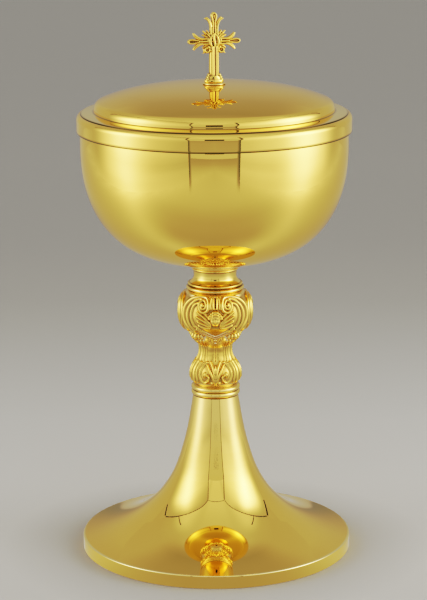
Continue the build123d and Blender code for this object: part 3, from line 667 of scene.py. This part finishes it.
# leaves in the angles
rod([(1.4, 1.3), (3.1, 2.7), (5.0, 4.6)], (0.85, 0.75, 0.32), (0.9, 0.8, 0.45), 0.3)
rod([(1.5, 1.9), (2.5, 3.4), (3.3, 4.75)], (0.6, 0.55, 0.28), (0.8, 0.7, 0.4), 0.45)
rod([(1.9, 1.4), (3.6, 2.1), (5.3, 2.85)], (0.6, 0.55, 0.28), (0.8, 0.7, 0.4), 0.45)
rod([(1.3, 1.2), (2.7, 2.7), (3.9, 3.9)], (0.3, 0.3, 0.2), (0.4, 0.4, 0.3), 1.15)
rod([(1.3, -1.3), (2.7, -2.9), (3.4, -4.2)], (0.9, 0.9, 0.8), (0.9, 0.85, 0.6), 0.3)
pad(3.35, -3.7, 1.75, 0.7)
curl = [(3.35 + r * cos(radians(q)), -3.7 + r * sin(radians(q))) for q, r in zip(range(120, 500, 38), np.linspace(1.45, 0.75, 10))]
rod(curl, (0.5, 0.45, 0.4), (0.6, 0.55, 0.5), 0.85)
rod([(3.0, -1.6), (4.4, -2.3), (5.2, -2.9)], (0.55, 0.5, 0.26), (0.7, 0.6, 0.4), 0.4)
rod([(3.6, -4.4), (4.5, -4.9), (5.05, -5.3)], (0.5, 0.4, 0.22), (0.6, 0.5, 0.35), 0.2)
# boss of folded leaves on the crossing
rod([(0, -3.0), (0, 3.0)], (1.5, 2.3, 2.3, 1.5), (1.0, 1.3, 1.3, 1.0), 0.0, "")
rod([(0.1, -3.2), (0.25, -1.2), (-0.2, 0.8), (0.1, 3.5)], (0.42, 0.62, 0.62, 0.36), (0.6, 0.8, 0.8, 0.5), 1.3, "")
rod([(0.7, -2.9), (1.75, -1.0), (1.75, 0.9), (0.75, 3.0)], (0.38, 0.6, 0.6, 0.34), (0.55, 0.65, 0.65, 0.5), 1.15)
rod([(1.6, -2.2), (2.7, -0.6), (2.9, 0.9), (2.2, 2.2)], (0.34, 0.5, 0.5, 0.3), (0.5, 0.55, 0.55, 0.4), 0.8)
rod([(-1.9, -4.0), (0, -4.35), (1.9, -4.0)], (0.4, 0.45, 0.4), (0.5, 0.6, 0.5), 1.25, "")
# round shaft with flutes
g = np.arange(160) * 2 * pi / 160
shaft = []
for v in np.linspace(BASE_TOP - CROSS_Z, -2.2, 48):
    f = (v + 2.2) / (BASE_TOP - CROSS_Z + 2.2)
    hu, hd = 2.22 + 0.12 * f, 2.3 + 0.1 * f
    u0 = hu * np.cos(g)
    cut = 0.3 * np.exp(-((np.abs(u0) - 1.3) / 0.22) ** 2) + 0.46 * np.exp(-((u0 / 0.55) ** 2))
    shaft.append(np.stack([u0, np.full(len(g), v), (hd - cut) * np.sin(g)], 1))
add_shell(shaft)
# stepped rolls at the shaft's foot
FOOT_V = BASE_TOP - CROSS_Z
for u, v, r, d in ((2.25, 3.0, 0.85, 1.4), (2.6, 1.95, 1.0, 1.65), (3.05, 0.98, 0.97, 1.9)):
    pad(u, FOOT_V + v, r, d)
plinth = []
for v, hu, hd in ((0.0, 4.5, 2.75), (0.35, 4.5, 2.75), (0.7, 4.45, 2.7), (0.95, 4.2, 2.65), (1.1, 3.8, 2.6),
                  (1.7, 3.4, 2.55), (2.4, 2.95, 2.5), (2.9, 2.4, 2.4)):
    plinth.append(np.stack([hu * np.cos(-g), np.full(len(g), FOOT_V + v), hd * np.sin(-g)], 1))
add_shell(plinth[::-1])
rod([(-2.2, FOOT_V + 0.55), (2.2, FOOT_V + 0.55)], (0.5, 0.5), (1.9, 1.9), 0.0, "")
rod([(-1.7, FOOT_V + 1.75), (1.7, FOOT_V + 1.75)], (0.5, 0.5), (1.75, 1.75), 0.0, "")

raw = bpy.data.meshes.new("cross_parts")
raw.from_pydata(np.vstack(c_verts).tolist(), [], c_faces)
raw_obj = add_object("cross_parts", raw)
skin = raw_obj.modifiers.new("skin", "REMESH")
skin.mode, skin.voxel_size, skin.adaptivity = "VOXEL", 0.13, 0.0
ease = raw_obj.modifiers.new("ease", "SMOOTH")
ease.factor, ease.iterations = 0.5, 3
bpy.context.view_layer.update()
made = raw_obj.evaluated_get(bpy.context.evaluated_depsgraph_get()).to_mesh()
pts = np.zeros(len(made.vertices) * 3)
made.vertices.foreach_get("co", pts)
pts = pts.reshape(-1, 3)
polys = [tuple(p.vertices) for p in made.polygons]
edges = np.array([tuple(e.vertices) for e in made.edges])
raw_obj.to_mesh_clear()
bpy.data.objects.remove(raw_obj)
# the outer skin only: tiny closed pockets inside are dropped
label = np.arange(len(pts))
while True:
    low = np.minimum(label[edges[:, 0]], label[edges[:, 1]])
    fresh = label.copy()
    np.minimum.at(fresh, edges[:, 0], low)
    np.minimum.at(fresh, edges[:, 1], low)
    fresh = fresh[fresh]
    if np.array_equal(fresh, label):
        break
    label = fresh
keep = label == np.bincount(label).argmax()
renumber = np.cumsum(keep) - 1
polys = [tuple(int(renumber[q]) for q in p) for p in polys if keep[p[0]]]
edges = renumber[edges[keep[edges[:, 0]]]]
pts = pts[keep]
pts[:, 1] = np.clip(pts[:, 1], FOOT_V, 250.0 - CROSS_Z)
count = np.bincount(edges.ravel(), minlength=len(pts)).astype(float)[:, None]
calm = pts.copy()
for _ in range(30):
    total = np.zeros_like(calm)
    np.add.at(total, edges[:, 0], calm[edges[:, 1]])
    np.add.at(total, edges[:, 1], calm[edges[:, 0]])
    calm = 0.4 * calm + 0.6 * total / count
ct, st = cos(CROSS_TURN), sin(CROSS_TURN)


def stand(p):
    """(u, v, depth) to the part's frame."""
    return np.stack([p[:, 0] * ct + p[:, 2] * st, p[:, 0] * st - p[:, 2] * ct, CROSS_Z + p[:, 1]], 1)


cross = mesh_object("cross_casting", stand(pts), polys)
normal = np.zeros(len(pts) * 3)
cross.data.vertices.foreach_get("normal", normal)
# painted shade: the hollow value darkens the cast colour in recesses; it is raised a little over the whole cross and
# more on the shaft
pit = np.sum((stand(calm) - stand(pts)) * normal.reshape(-1, 3), 1)
att = cross.data.attributes.new("hollow", "FLOAT", "POINT")
pit = pit / 0.1 + 0.1 + 0.1 * (pts[:, 1] < -5.6) * (pts[:, 1] > FOOT_V + 2.6)
att.data.foreach_set("value", np.clip(pit, -1, 1).astype(np.float32))
settle(cross, "lid", "gold_cast", "finial_cross")


# ------------------------------------------------------------------ materials
def material(name):
    mat = bpy.data.materials.new(name)
    mat.use_nodes = True
    nt = mat.node_tree
    return mat, nt, nt.nodes["Principled BSDF"]


def link(nt, a, b):
    nt.links.new(a, b)


def noise(nt, coords, scale, detail=3.0, rough=0.5):
    n = nt.nodes.new("ShaderNodeTexNoise")
    n.inputs["Scale"].default_value = scale
    n.inputs["Detail"].default_value = detail
    n.inputs["Roughness"].default_value = rough
    link(nt, coords, n.inputs["Vector"])
    return n.outputs["Fac"]


def ramp(nt, fac, stops):
    r = nt.nodes.new("ShaderNodeValToRGB")
    e = r.color_ramp.elements
    while len(e) < len(stops):
        e.new(0.5)
    for el, (pos, col) in zip(e, stops):
        el.position = pos
        el.color = (*col, 1.0)
    link(nt, fac, r.inputs["Fac"])
    return r.outputs["Color"]


def span(nt, value, lo, hi, out_lo, out_hi):
    m = nt.nodes.new("ShaderNodeMapRange")
    for key, v in (("From Min", lo), ("From Max", hi), ("To Min", out_lo), ("To Max", out_hi)):
        m.inputs[key].default_value = v
    link(nt, value, m.inputs["Value"])
    return m.outputs["Result"]


def bump(nt, height, strength, distance, normal_in):
    b = nt.nodes.new("ShaderNodeBump")
    b.inputs["Strength"].default_value = strength
    b.inputs["Distance"].default_value = distance
    link(nt, height, b.inputs["Height"])
    link(nt, b.outputs["Normal"], normal_in)
    return b


def object_coords(nt):
    return nt.nodes.new("ShaderNodeTexCoord").outputs["Object"]


def lathe_coords(nt, co):
    """(distance from the axis, height, 0): patterns on it run round the piece like tool lines."""
    sep = nt.nodes.new("ShaderNodeSeparateXYZ")
    link(nt, co, sep.inputs["Vector"])
    flat = nt.nodes.new("ShaderNodeCombineXYZ")
    link(nt, sep.outputs["X"], flat.inputs["X"])
    link(nt, sep.outputs["Y"], flat.inputs["Y"])
    size = nt.nodes.new("ShaderNodeVectorMath")
    size.operation = "LENGTH"
    link(nt, flat.outputs["Vector"], size.inputs[0])
    out = nt.nodes.new("ShaderNodeCombineXYZ")
    link(nt, size.outputs["Value"], out.inputs["X"])
    link(nt, sep.outputs["Z"], out.inputs["Y"])
    return out.outputs["Vector"]


EDGE_TINT = (0.98, 0.95, 0.86, 1.0)


def gold_polished():
    mat, nt, bsdf = material("gold_polished_plate")
    bsdf.inputs["Metallic"].default_value = 1.0
    bsdf.inputs["Specular Tint"].default_value = EDGE_TINT
    co = object_coords(nt)
    tone = noise(nt, co, 26.0, 3.0)
    plate = ramp(nt, tone, [(0.3, (0.955, 0.655, 0.172)), (0.7, (0.985, 0.690, 0.192))])
    painted_shade_mark = nt.nodes.new("ShaderNodeAttribute")
    painted_shade_mark.attribute_name = "painted_shade"
    painted_light_mark = nt.nodes.new("ShaderNodeAttribute")
    painted_light_mark.attribute_name = "painted_light"
    painted_light = ramp(nt, tone, [(0.3, (0.965, 0.790, 0.400)), (0.7, (0.985, 0.815, 0.430))])
    # painted light: the paler gold along the pale bands; painted shade: near-black along the dark lines
    for mark, over in ((painted_light_mark, painted_light), (painted_shade_mark, None)):
        blend = nt.nodes.new("ShaderNodeMix")
        blend.data_type = "RGBA"
        link(nt, mark.outputs["Fac"], blend.inputs["Factor"])
        link(nt, plate, blend.inputs[6])
        if over is None:
            blend.inputs[7].default_value = (0.06, 0.035, 0.01, 1.0)
        else:
            link(nt, over, blend.inputs[7])
        plate = blend.outputs[2]
    link(nt, plate, bsdf.inputs["Base Color"])
    wipe = noise(nt, co, 55.0, 5.0, 0.6)
    link(nt, span(nt, wipe, 0.3, 0.7, 0.018, 0.04), bsdf.inputs["Roughness"])
    lines = noise(nt, lathe_coords(nt, co), 2600.0, 2.0)
    bump(nt, lines, 0.010, 0.0001, bsdf.inputs["Normal"])
    return mat


def gold_cast():
    mat, nt, bsdf = material("gold_cast_plate")
    bsdf.inputs["Metallic"].default_value = 1.0
    bsdf.inputs["Specular Tint"].default_value = EDGE_TINT
    co = object_coords(nt)
    deep = nt.nodes.new("ShaderNodeAttribute")
    deep.attribute_name = "hollow"
    depth = span(nt, deep.outputs["Fac"], -0.8, 0.8, 0.0, 1.0)
    # painted shade: deeper recesses get darker browns
    cast = ramp(nt, depth, [(0.0, (0.975, 0.700, 0.200)), (0.46, (0.925, 0.625, 0.160)), (0.62, (0.63, 0.40, 0.105)),
                              (0.86, (0.34, 0.205, 0.06)), (1.0, (0.24, 0.14, 0.045))])
    # painted light: a pale gold where the knop is painted lighter
    painted_light_mark = nt.nodes.new("ShaderNodeAttribute")
    painted_light_mark.attribute_name = "painted_light"
    blend = nt.nodes.new("ShaderNodeMix")
    blend.data_type = "RGBA"
    link(nt, painted_light_mark.outputs["Fac"], blend.inputs["Factor"])
    link(nt, cast, blend.inputs[6])
    blend.inputs[7].default_value = (0.94, 0.86, 0.69, 1.0)
    link(nt, blend.outputs[2], bsdf.inputs["Base Color"])
    rough = ramp(nt, depth, [(0.0, (0.09, 0.09, 0.09)), (0.5, (0.14, 0.14, 0.14)), (1.0, (0.34, 0.34, 0.34))])
    link(nt, rough, bsdf.inputs["Roughness"])
    skin_grain = noise(nt, co, 1500.0, 4.0, 0.6)
    bump(nt, skin_grain, 0.10, 0.0001, bsdf.inputs["Normal"])
    return mat


def brass_turned():
    mat, nt, bsdf = material("brass_turned_plain")
    bsdf.inputs["Metallic"].default_value = 1.0
    bsdf.inputs["Specular Tint"].default_value = (0.97, 0.88, 0.68, 1.0)
    co = object_coords(nt)
    rings = noise(nt, lathe_coords(nt, co), 3200.0, 3.0, 0.6)
    dull = noise(nt, co, 120.0, 4.0, 0.6)
    link(nt, ramp(nt, dull, [(0.3, (0.66, 0.46, 0.17)), (0.55, (0.78, 0.58, 0.25)), (0.75, (0.83, 0.64, 0.31))]), bsdf.inputs["Base Color"])
    link(nt, span(nt, rings, 0.25, 0.75, 0.16, 0.34), bsdf.inputs["Roughness"])
    bump(nt, rings, 0.25, 0.00008, bsdf.inputs["Normal"])
    return mat


def steel_plated():
    mat, nt, bsdf = material("steel_zinc_plate")
    bsdf.inputs["Metallic"].default_value = 1.0
    co = object_coords(nt)
    cells = nt.nodes.new("ShaderNodeTexVoronoi")
    cells.inputs["Scale"].default_value = 900.0
    link(nt, co, cells.inputs["Vector"])
    patch = noise(nt, co, 300.0, 4.0, 0.6)
    link(nt, ramp(nt, patch, [(0.3, (0.50, 0.50, 0.49)), (0.6, (0.63, 0.63, 0.61)), (0.8, (0.70, 0.70, 0.69))]), bsdf.inputs["Base Color"])
    link(nt, span(nt, cells.outputs["Distance"], 0.0, 0.9, 0.22, 0.42), bsdf.inputs["Roughness"])
    bump(nt, cells.outputs["Distance"], 0.12, 0.0001, bsdf.inputs["Normal"])
    return mat


GOLD, CAST, BRASS, STEEL = gold_polished(), gold_cast(), brass_turned(), steel_plated()
for obj in (cover, disc, cup, collar, bead, beads, foot):
    obj.data.materials.append(GOLD)
for obj in (knop, cross):
    obj.data.materials.append(CAST)
for mat, names in ((BRASS, ("finial_washer", "finial_nut", "bowl_boss", "foot_bush", "foot_nut", "foot_rim_ring")),
                   (STEEL, ("finial_stud", "tie_rod", "foot_washer", "spring_washer"))):
    for name in names:
        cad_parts[name].data.materials.clear()
        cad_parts[name].data.materials.append(mat)


# --------------------------------------------------------- stage, light, camera
def stage_mesh(name, verts, faces, mat, camera=False, diffuse=False, shadow=False, glossy=True):
    obj = mesh_object(name, np.array(verts, float), faces)
    obj.visible_camera, obj.visible_diffuse, obj.visible_shadow, obj.visible_glossy = camera, diffuse, shadow, glossy
    obj.data.materials.append(mat)
    return obj


def glow(name, colour, strength):
    mat = bpy.data.materials.new(name)
    mat.use_nodes = True
    nt = mat.node_tree
    nt.nodes.clear()
    out = nt.nodes.new("ShaderNodeOutputMaterial")
    em = nt.nodes.new("ShaderNodeEmission")
    em.inputs["Color"].default_value = (*colour, 1.0)
    em.inputs["Strength"].default_value = strength
    link(nt, em.outputs[0], out.inputs["Surface"])
    return mat, nt, em


LIGHT, nt, em = glow("stage_light", (1.0, 0.985, 0.955), 1.0)
brightness = nt.nodes.new("ShaderNodeAttribute")
brightness.attribute_name = "level"
link(nt, brightness.outputs["Fac"], em.inputs["Strength"])
BLACK = glow("stage_black", (0.0, 0.0, 0.0), 0.0)[0]


def lit_grid(name, points, levels, **kinds):
    """Card of rows and columns of points, each with its own brightness."""
    points, levels = np.asarray(points, float), np.asarray(levels, float)
    r, c = points.shape[:2]
    i, j = np.meshgrid(np.arange(r - 1), np.arange(c - 1), indexing="ij")
    q = np.stack([i * c + j, i * c + j + 1, (i + 1) * c + j + 1, (i + 1) * c + j], 2).reshape(-1, 4)
    obj = stage_mesh(name, points.reshape(-1, 3), q.tolist(), LIGHT, **kinds)
    att = obj.data.attributes.new("level", "FLOAT", "POINT")
    att.data.foreach_set("value", levels.astype(np.float32).ravel())
    return obj


# two upright light panels, left and right of the front
PANEL_AZ, PANEL_D, PANEL_TOP, PANEL_OUT = radians(63.0), 450.0, 665.0, 619.0


def panel_point(side, u, v, back=0.0):
    """Point on the panel: u along it away from the front, v up, back behind its face."""
    d = PANEL_D + back
    return (side * (d * sin(PANEL_AZ) + u * cos(PANEL_AZ)), -d * cos(PANEL_AZ) + u * sin(PANEL_AZ), v)


def panel_inner(v):
    az = np.interp(v, [0, 100, 160, 230, 300], [20.4, 20.3, 20.6, 21.6, 22.6])
    return -PANEL_D * np.tan(PANEL_AZ - np.radians(az))


# floor as the metal sees it
steps = np.r_[-np.geomspace(1700, 60, 22), np.linspace(-52, 52, 9), np.geomspace(60, 1700, 22)]


# painted shade and light in the floor's glow: dimmer close in front of the foot, pools of light by the panels, and a
# brighter patch beside the foot
def floor_level(x, y):
    r, az = np.hypot(x, y), np.degrees(np.arctan2(np.abs(x), -y))
    front = np.interp(-y, [0, 100, 142, 188, 242, 306, 382, 477, 811, 1000, 1200, 1700],
                      [0.44, 0.43, 0.46, 0.475, 0.525, 0.60, 0.65, 0.67, 0.62, 0.55, 0.47, 0.42])
    back = np.interp(y, [0, 100, 250, 400, 600, 900], [0.52, 0.51, 0.47, 0.40, 0.34, 0.31])
    base = front + (0.54 - front) * ease_between(az, 40, 75)
    base = base + (back - base) * ease_between(az, 88, 112) * (1 - ease_between(np.abs(x), 140, 330))
    gap = PANEL_D - (np.abs(x) * sin(PANEL_AZ) - y * cos(PANEL_AZ))
    light = 1.45 * np.exp(-np.abs(gap) / 150) / (1 + ((az - 76) / 19) ** 2)
    hug = 0.10 * np.exp(-(((r - 70) / 35) ** 2) - ((az - 58) / 26) ** 2)
    return base + light + hug


gx, gy = np.meshgrid(steps, steps)
lit_grid("floor_shine", np.stack([gx, gy, np.full_like(gx, -0.06)], 2), floor_level(gx, gy))

PEAK = {
    -1: ([0, 60, 120, 180, 230, 340, 400, 450, 525, 595, 665], [1.7, 2.3, 2.2, 3.0, 3.4, 3.5, 2.9, 2.15, 1.5, 1.0, 0.75]),
    1: ([0, 60, 120, 160, 200, 250, 340, 400, 450, 525, 595, 665], [1.8, 2.5, 2.85, 3.5, 4.4, 4.9, 4.7, 3.9, 3.2, 2.0, 1.25, 0.8]),
}


def across(az):
    return 1 / (1 + ((np.abs(az) - 77) / 18.5) ** 2)


for side, tag, rim in ((-1, "left", 0.85), (1, "right", 1.15)):
    vs = np.linspace(0.0, PANEL_TOP, 36)
    grid, level = [], []
    for v in vs:
        us = np.linspace(panel_inner(v), PANEL_OUT, 44)
        row = [panel_point(side, u, v) for u in us]
        az = np.degrees([atan2(abs(p[0]), -p[1]) for p in row])
        lo = 0.45 + (0.07 if side < 0 else 0.30) * (1 - ease_between(az, 35, 60))
        lit = lo + (np.interp(v, *PEAK[side]) - 0.45) * across(az)
        out = 1 - ease_between(az, 95, 117) if side < 0 else 1 - 0.9 * ease_between(az, 98, 117)
        lit = 0.55 + (lit - 0.55) * out
        lit *= 1 - 0.14 * ease_between(v, 70, 105) * (1 - ease_between(v, 115, 150)) * (1 - ease_between(az, 42, 66))
        foot_lit = np.array([floor_level(p[0], p[1]) for p in row])
        level.append(foot_lit + (lit - foot_lit) * ease_between(v, -20, 100))
        grid.append(row)
    lit_grid("panel_" + tag, grid, level, diffuse=True, shadow=True)
    hv = np.linspace(0.0, PANEL_TOP + 8, 30)
    strip = [panel_point(side, panel_inner(v) - d, v, 2.0) for v in hv
             for d in (rim * np.interp(v, [0, 100, 150, 230, 300, 400, 665], [36, 36, 32, 26, 26, 30, 34]), 0.0)]
    dim = [(np.interp(v, [0, 60, 120, 200], [0.60, 0.55, 0.48, 0.30]), np.interp(v, [0, 60, 120], [0.24, 0.08, 0.04])) for v in hv]
    lit_grid("panel_edge_" + tag, np.array(strip).reshape(-1, 2, 3), dim)
    # the same dark edge, fading out over the floor in front of the panel
    ends = np.array(strip[:2]) * (1, 1, 0)
    grid = [[tuple(p * (1 - 0.34 * f) + (0, 0, 0.02)) for p in ends] for f in np.linspace(0, 1, 14)]
    fade_out = [[d + (float(floor_level(q[0], q[1])) - d) * ease_between(f, 0, 1) for d, q in zip(dim[0], row)]
                for f, row in zip(np.linspace(0, 1, 14), grid)]
    lit_grid("panel_edge_floor_" + tag, grid, fade_out)
    top = [panel_point(side, u, v, 2.0) for u, v in ((panel_inner(400), PANEL_TOP), (PANEL_OUT, PANEL_TOP),
                                                    (PANEL_OUT, PANEL_TOP + 20), (panel_inner(400), PANEL_TOP + 20))]
    stage_mesh("panel_top_" + tag, top, [(0, 1, 2, 3)], BLACK)
    low, wide = (380.0, 50.0) if side > 0 else (450.0, 40.0)
    outer = [panel_point(side, u, v, 2.0) for u, v in ((PANEL_OUT, low), (PANEL_OUT + wide, low),
                                                      (PANEL_OUT + wide, PANEL_TOP), (PANEL_OUT, PANEL_TOP))]
    stage_mesh("panel_outer_" + tag, outer, [(0, 1, 2, 3)], BLACK)

# thin rail between the panels' tops
rail_x, rail_y, _ = panel_point(1, panel_inner(400), PANEL_TOP)
stage_mesh("front_rail", [(-rail_x, rail_y, PANEL_TOP - 2), (rail_x, rail_y, PANEL_TOP - 2), (rail_x, rail_y, PANEL_TOP + 7),
                          (-rail_x, rail_y, PANEL_TOP + 7)], [(0, 1, 2, 3)], BLACK)

# white cloth overhead
CEIL_Z = 708.0
ys = np.r_[np.linspace(-1200, 300, 32), np.linspace(320, 560, 25), np.linspace(600, 900, 8)]
xs = np.linspace(-720, 720, 61)
grid, level = [], []
for y in ys:
    grid.append([(x, y, CEIL_Z) for x in xs])
    mid = np.interp(y, [-1200, -500, -200, 0, 200, 330, 400, 470, 560, 900], [1.0, 0.88, 0.73, 0.65, 0.59, 0.42, 0.375, 0.385, 0.40, 0.43])
    far = np.interp(y, [-1200, 0, 150, 400, 900], [0.70, 0.62, 0.56, 0.52, 0.53])
    level.append(mid + (far - mid) * ease_between(np.abs(xs), 150, 330)
                 + 0.33 * ease_between(np.abs(xs), 190, 430) * ease_between(-y, -200, 60))
lit_grid("overhead_cloth", grid, level)
for side, tag in ((-1, "left"), (1, "right")):
    batten = [(side * x, y, CEIL_Z - 1) for x, y in ((400, 46), (585, 46), (585, 58), (400, 58))]
    stage_mesh("overhead_batten_" + tag, batten, [(0, 1, 2, 3)], BLACK)

# backdrop behind the object, seen only in the metal
DROP_Y = 900.0
grid, level = [], []
for z in np.linspace(0, 900, 24):
    xs = np.linspace(-1600, 1600, 41)
    grid.append([(x, DROP_Y, z) for x in xs])
    mid = np.interp(z, [0, 70, 200, 366, 465, 555, 652, 736, 826, 900], [0.30, 0.31, 0.39, 0.47, 0.48, 0.47, 0.45, 0.42, 0.37, 0.34])
    level.append(mid + (0.56 - mid) * ease_between(np.abs(xs), 140, 430))
lit_grid("backdrop_card", grid, level)

# dark louvre round the camera: edge-on from the foot, closed from higher up
CAM = np.array([-0.78, -1021.625, 365.137])
PITCH, ROLL = radians(13.622182), radians(-0.3)
verts, faces = [], []
for z in np.arange(122, 401, 3):
    slope = (z - 52.0) / 988.0
    q = len(verts)
    verts += [(-133, -980, z - 20 * slope), (133, -980, z - 20 * slope), (133, -1020, z + 20 * slope), (-133, -1020, z + 20 * slope)]
    faces.append((q, q + 1, q + 2, q + 3))
stage_mesh("camera_louvre", verts, faces, BLACK)

# floor the camera sees
half = 6000.0
mat, nt, bsdf = material("floor_paper")
co = object_coords(nt)
sep = nt.nodes.new("ShaderNodeSeparateXYZ")
link(nt, co, sep.inputs["Vector"])
fibre = noise(nt, co, 900.0, 4.0)
depth = span(nt, sep.outputs["Y"], -0.4, 1.2, 0.0, 1.0)
# painted light: the paper is lightest just behind the object and darker towards the front and the back
FLOOR_STOPS = [(-400, 0.50), (-70, 0.552), (30, 0.58), (95, 0.60), (200, 0.59), (300, 0.552), (400, 0.52), (485, 0.50), (677, 0.497), (1021, 0.516)]
paper = ramp(nt, depth, [((y + 400) / 1600, (a, a * 0.982, a * 0.935)) for y, a in FLOOR_STOPS])
sep = nt.nodes.new("ShaderNodeSeparateXYZ")
link(nt, lathe_coords(nt, co), sep.inputs["Vector"])
# painted shadow: a soft dark ring on the floor round the foot
shade = nt.nodes.new("ShaderNodeMix")
shade.data_type = "RGBA"
link(nt, span(nt, sep.outputs["X"], 0.060, 0.100, 0.5, 0.0), shade.inputs["Factor"])
link(nt, paper, shade.inputs[6])
shade.inputs[7].default_value = (0.33, 0.335, 0.335, 1.0)
link(nt, shade.outputs[2], bsdf.inputs["Base Color"])
bump(nt, fibre, 0.05, 0.0002, bsdf.inputs["Normal"])
bsdf.inputs["Roughness"].default_value = 0.9
bsdf.inputs["Specular IOR Level"].default_value = 0.0
stage_mesh("floor_paper", [(-half, -half, -0.05), (half, -half, -0.05), (half, half, -0.05), (-half, half, -0.05)],
           [(0, 1, 2, 3)], mat, camera=True, diffuse=True, shadow=True, glossy=False)

# soft room light, a little dimmer behind
world = bpy.data.worlds.new("studio") if scene.world is None else scene.world
scene.world = world
world.use_nodes = True
nt = world.node_tree
bg = nt.nodes.get("Background") or nt.nodes.new("ShaderNodeBackground")
sep = nt.nodes.new("ShaderNodeSeparateXYZ")
link(nt, nt.nodes.new("ShaderNodeTexCoord").outputs["Generated"], sep.inputs["Vector"])
fore = span(nt, sep.outputs["Y"], -1.0, 1.0, 0.0, 1.0)
link(nt, ramp(nt, fore, [(p, (a, a * 0.985, a * 0.955)) for p, a in ((0.0, 0.74), (0.5, 0.62), (0.75, 0.53), (1.0, 0.46))]),
     bg.inputs["Color"])
bg.inputs["Strength"].default_value = 1.0

cam_data = bpy.data.cameras.new("camera")
cam = add_object("camera", cam_data)
cam.location = Vector(CAM) * MM
cam.rotation_euler = (Matrix.Rotation(pi / 2 - PITCH, 3, "X") @ Matrix.Rotation(ROLL, 3, "Z")).to_euler()
cam_data.sensor_fit = "VERTICAL"
cam_data.sensor_height = 36.0
cam_data.sensor_width = 36.0
cam_data.lens = 136.956
cam_data.clip_start, cam_data.clip_end = 0.05, 50.0
scene.camera = cam

# plain tone: a soft toe, and highlights that roll off instead of clipping
view = scene.view_settings
view.view_transform = "Standard"
view.look = "None"
view.exposure, view.gamma = 0.0, 1.0
view.use_curve_mapping = True
cm = view.curve_mapping
cm.use_clip = False
cm.white_level = (4.0, 4.0, 4.0)
curve = cm.curves[3]


def tone(x):
    if x < 0.4:
        return x * (x / 0.4) ** 0.35
    return x if x < 0.45 else 1 - 0.55 * np.exp(-(x - 0.45) / 0.8)


knots = [0.02, 0.05, 0.1, 0.16, 0.23, 0.3, 0.4, 0.5, 0.65, 0.8, 1.0, 1.3, 1.7, 2.2, 3.0]
curve.points[0].location = (0.0, 0.0)
curve.points[1].location = (1.0, float(tone(4.0)))
for x in knots:
    curve.points.new(x / 4.0, float(tone(x)))
cm.update()
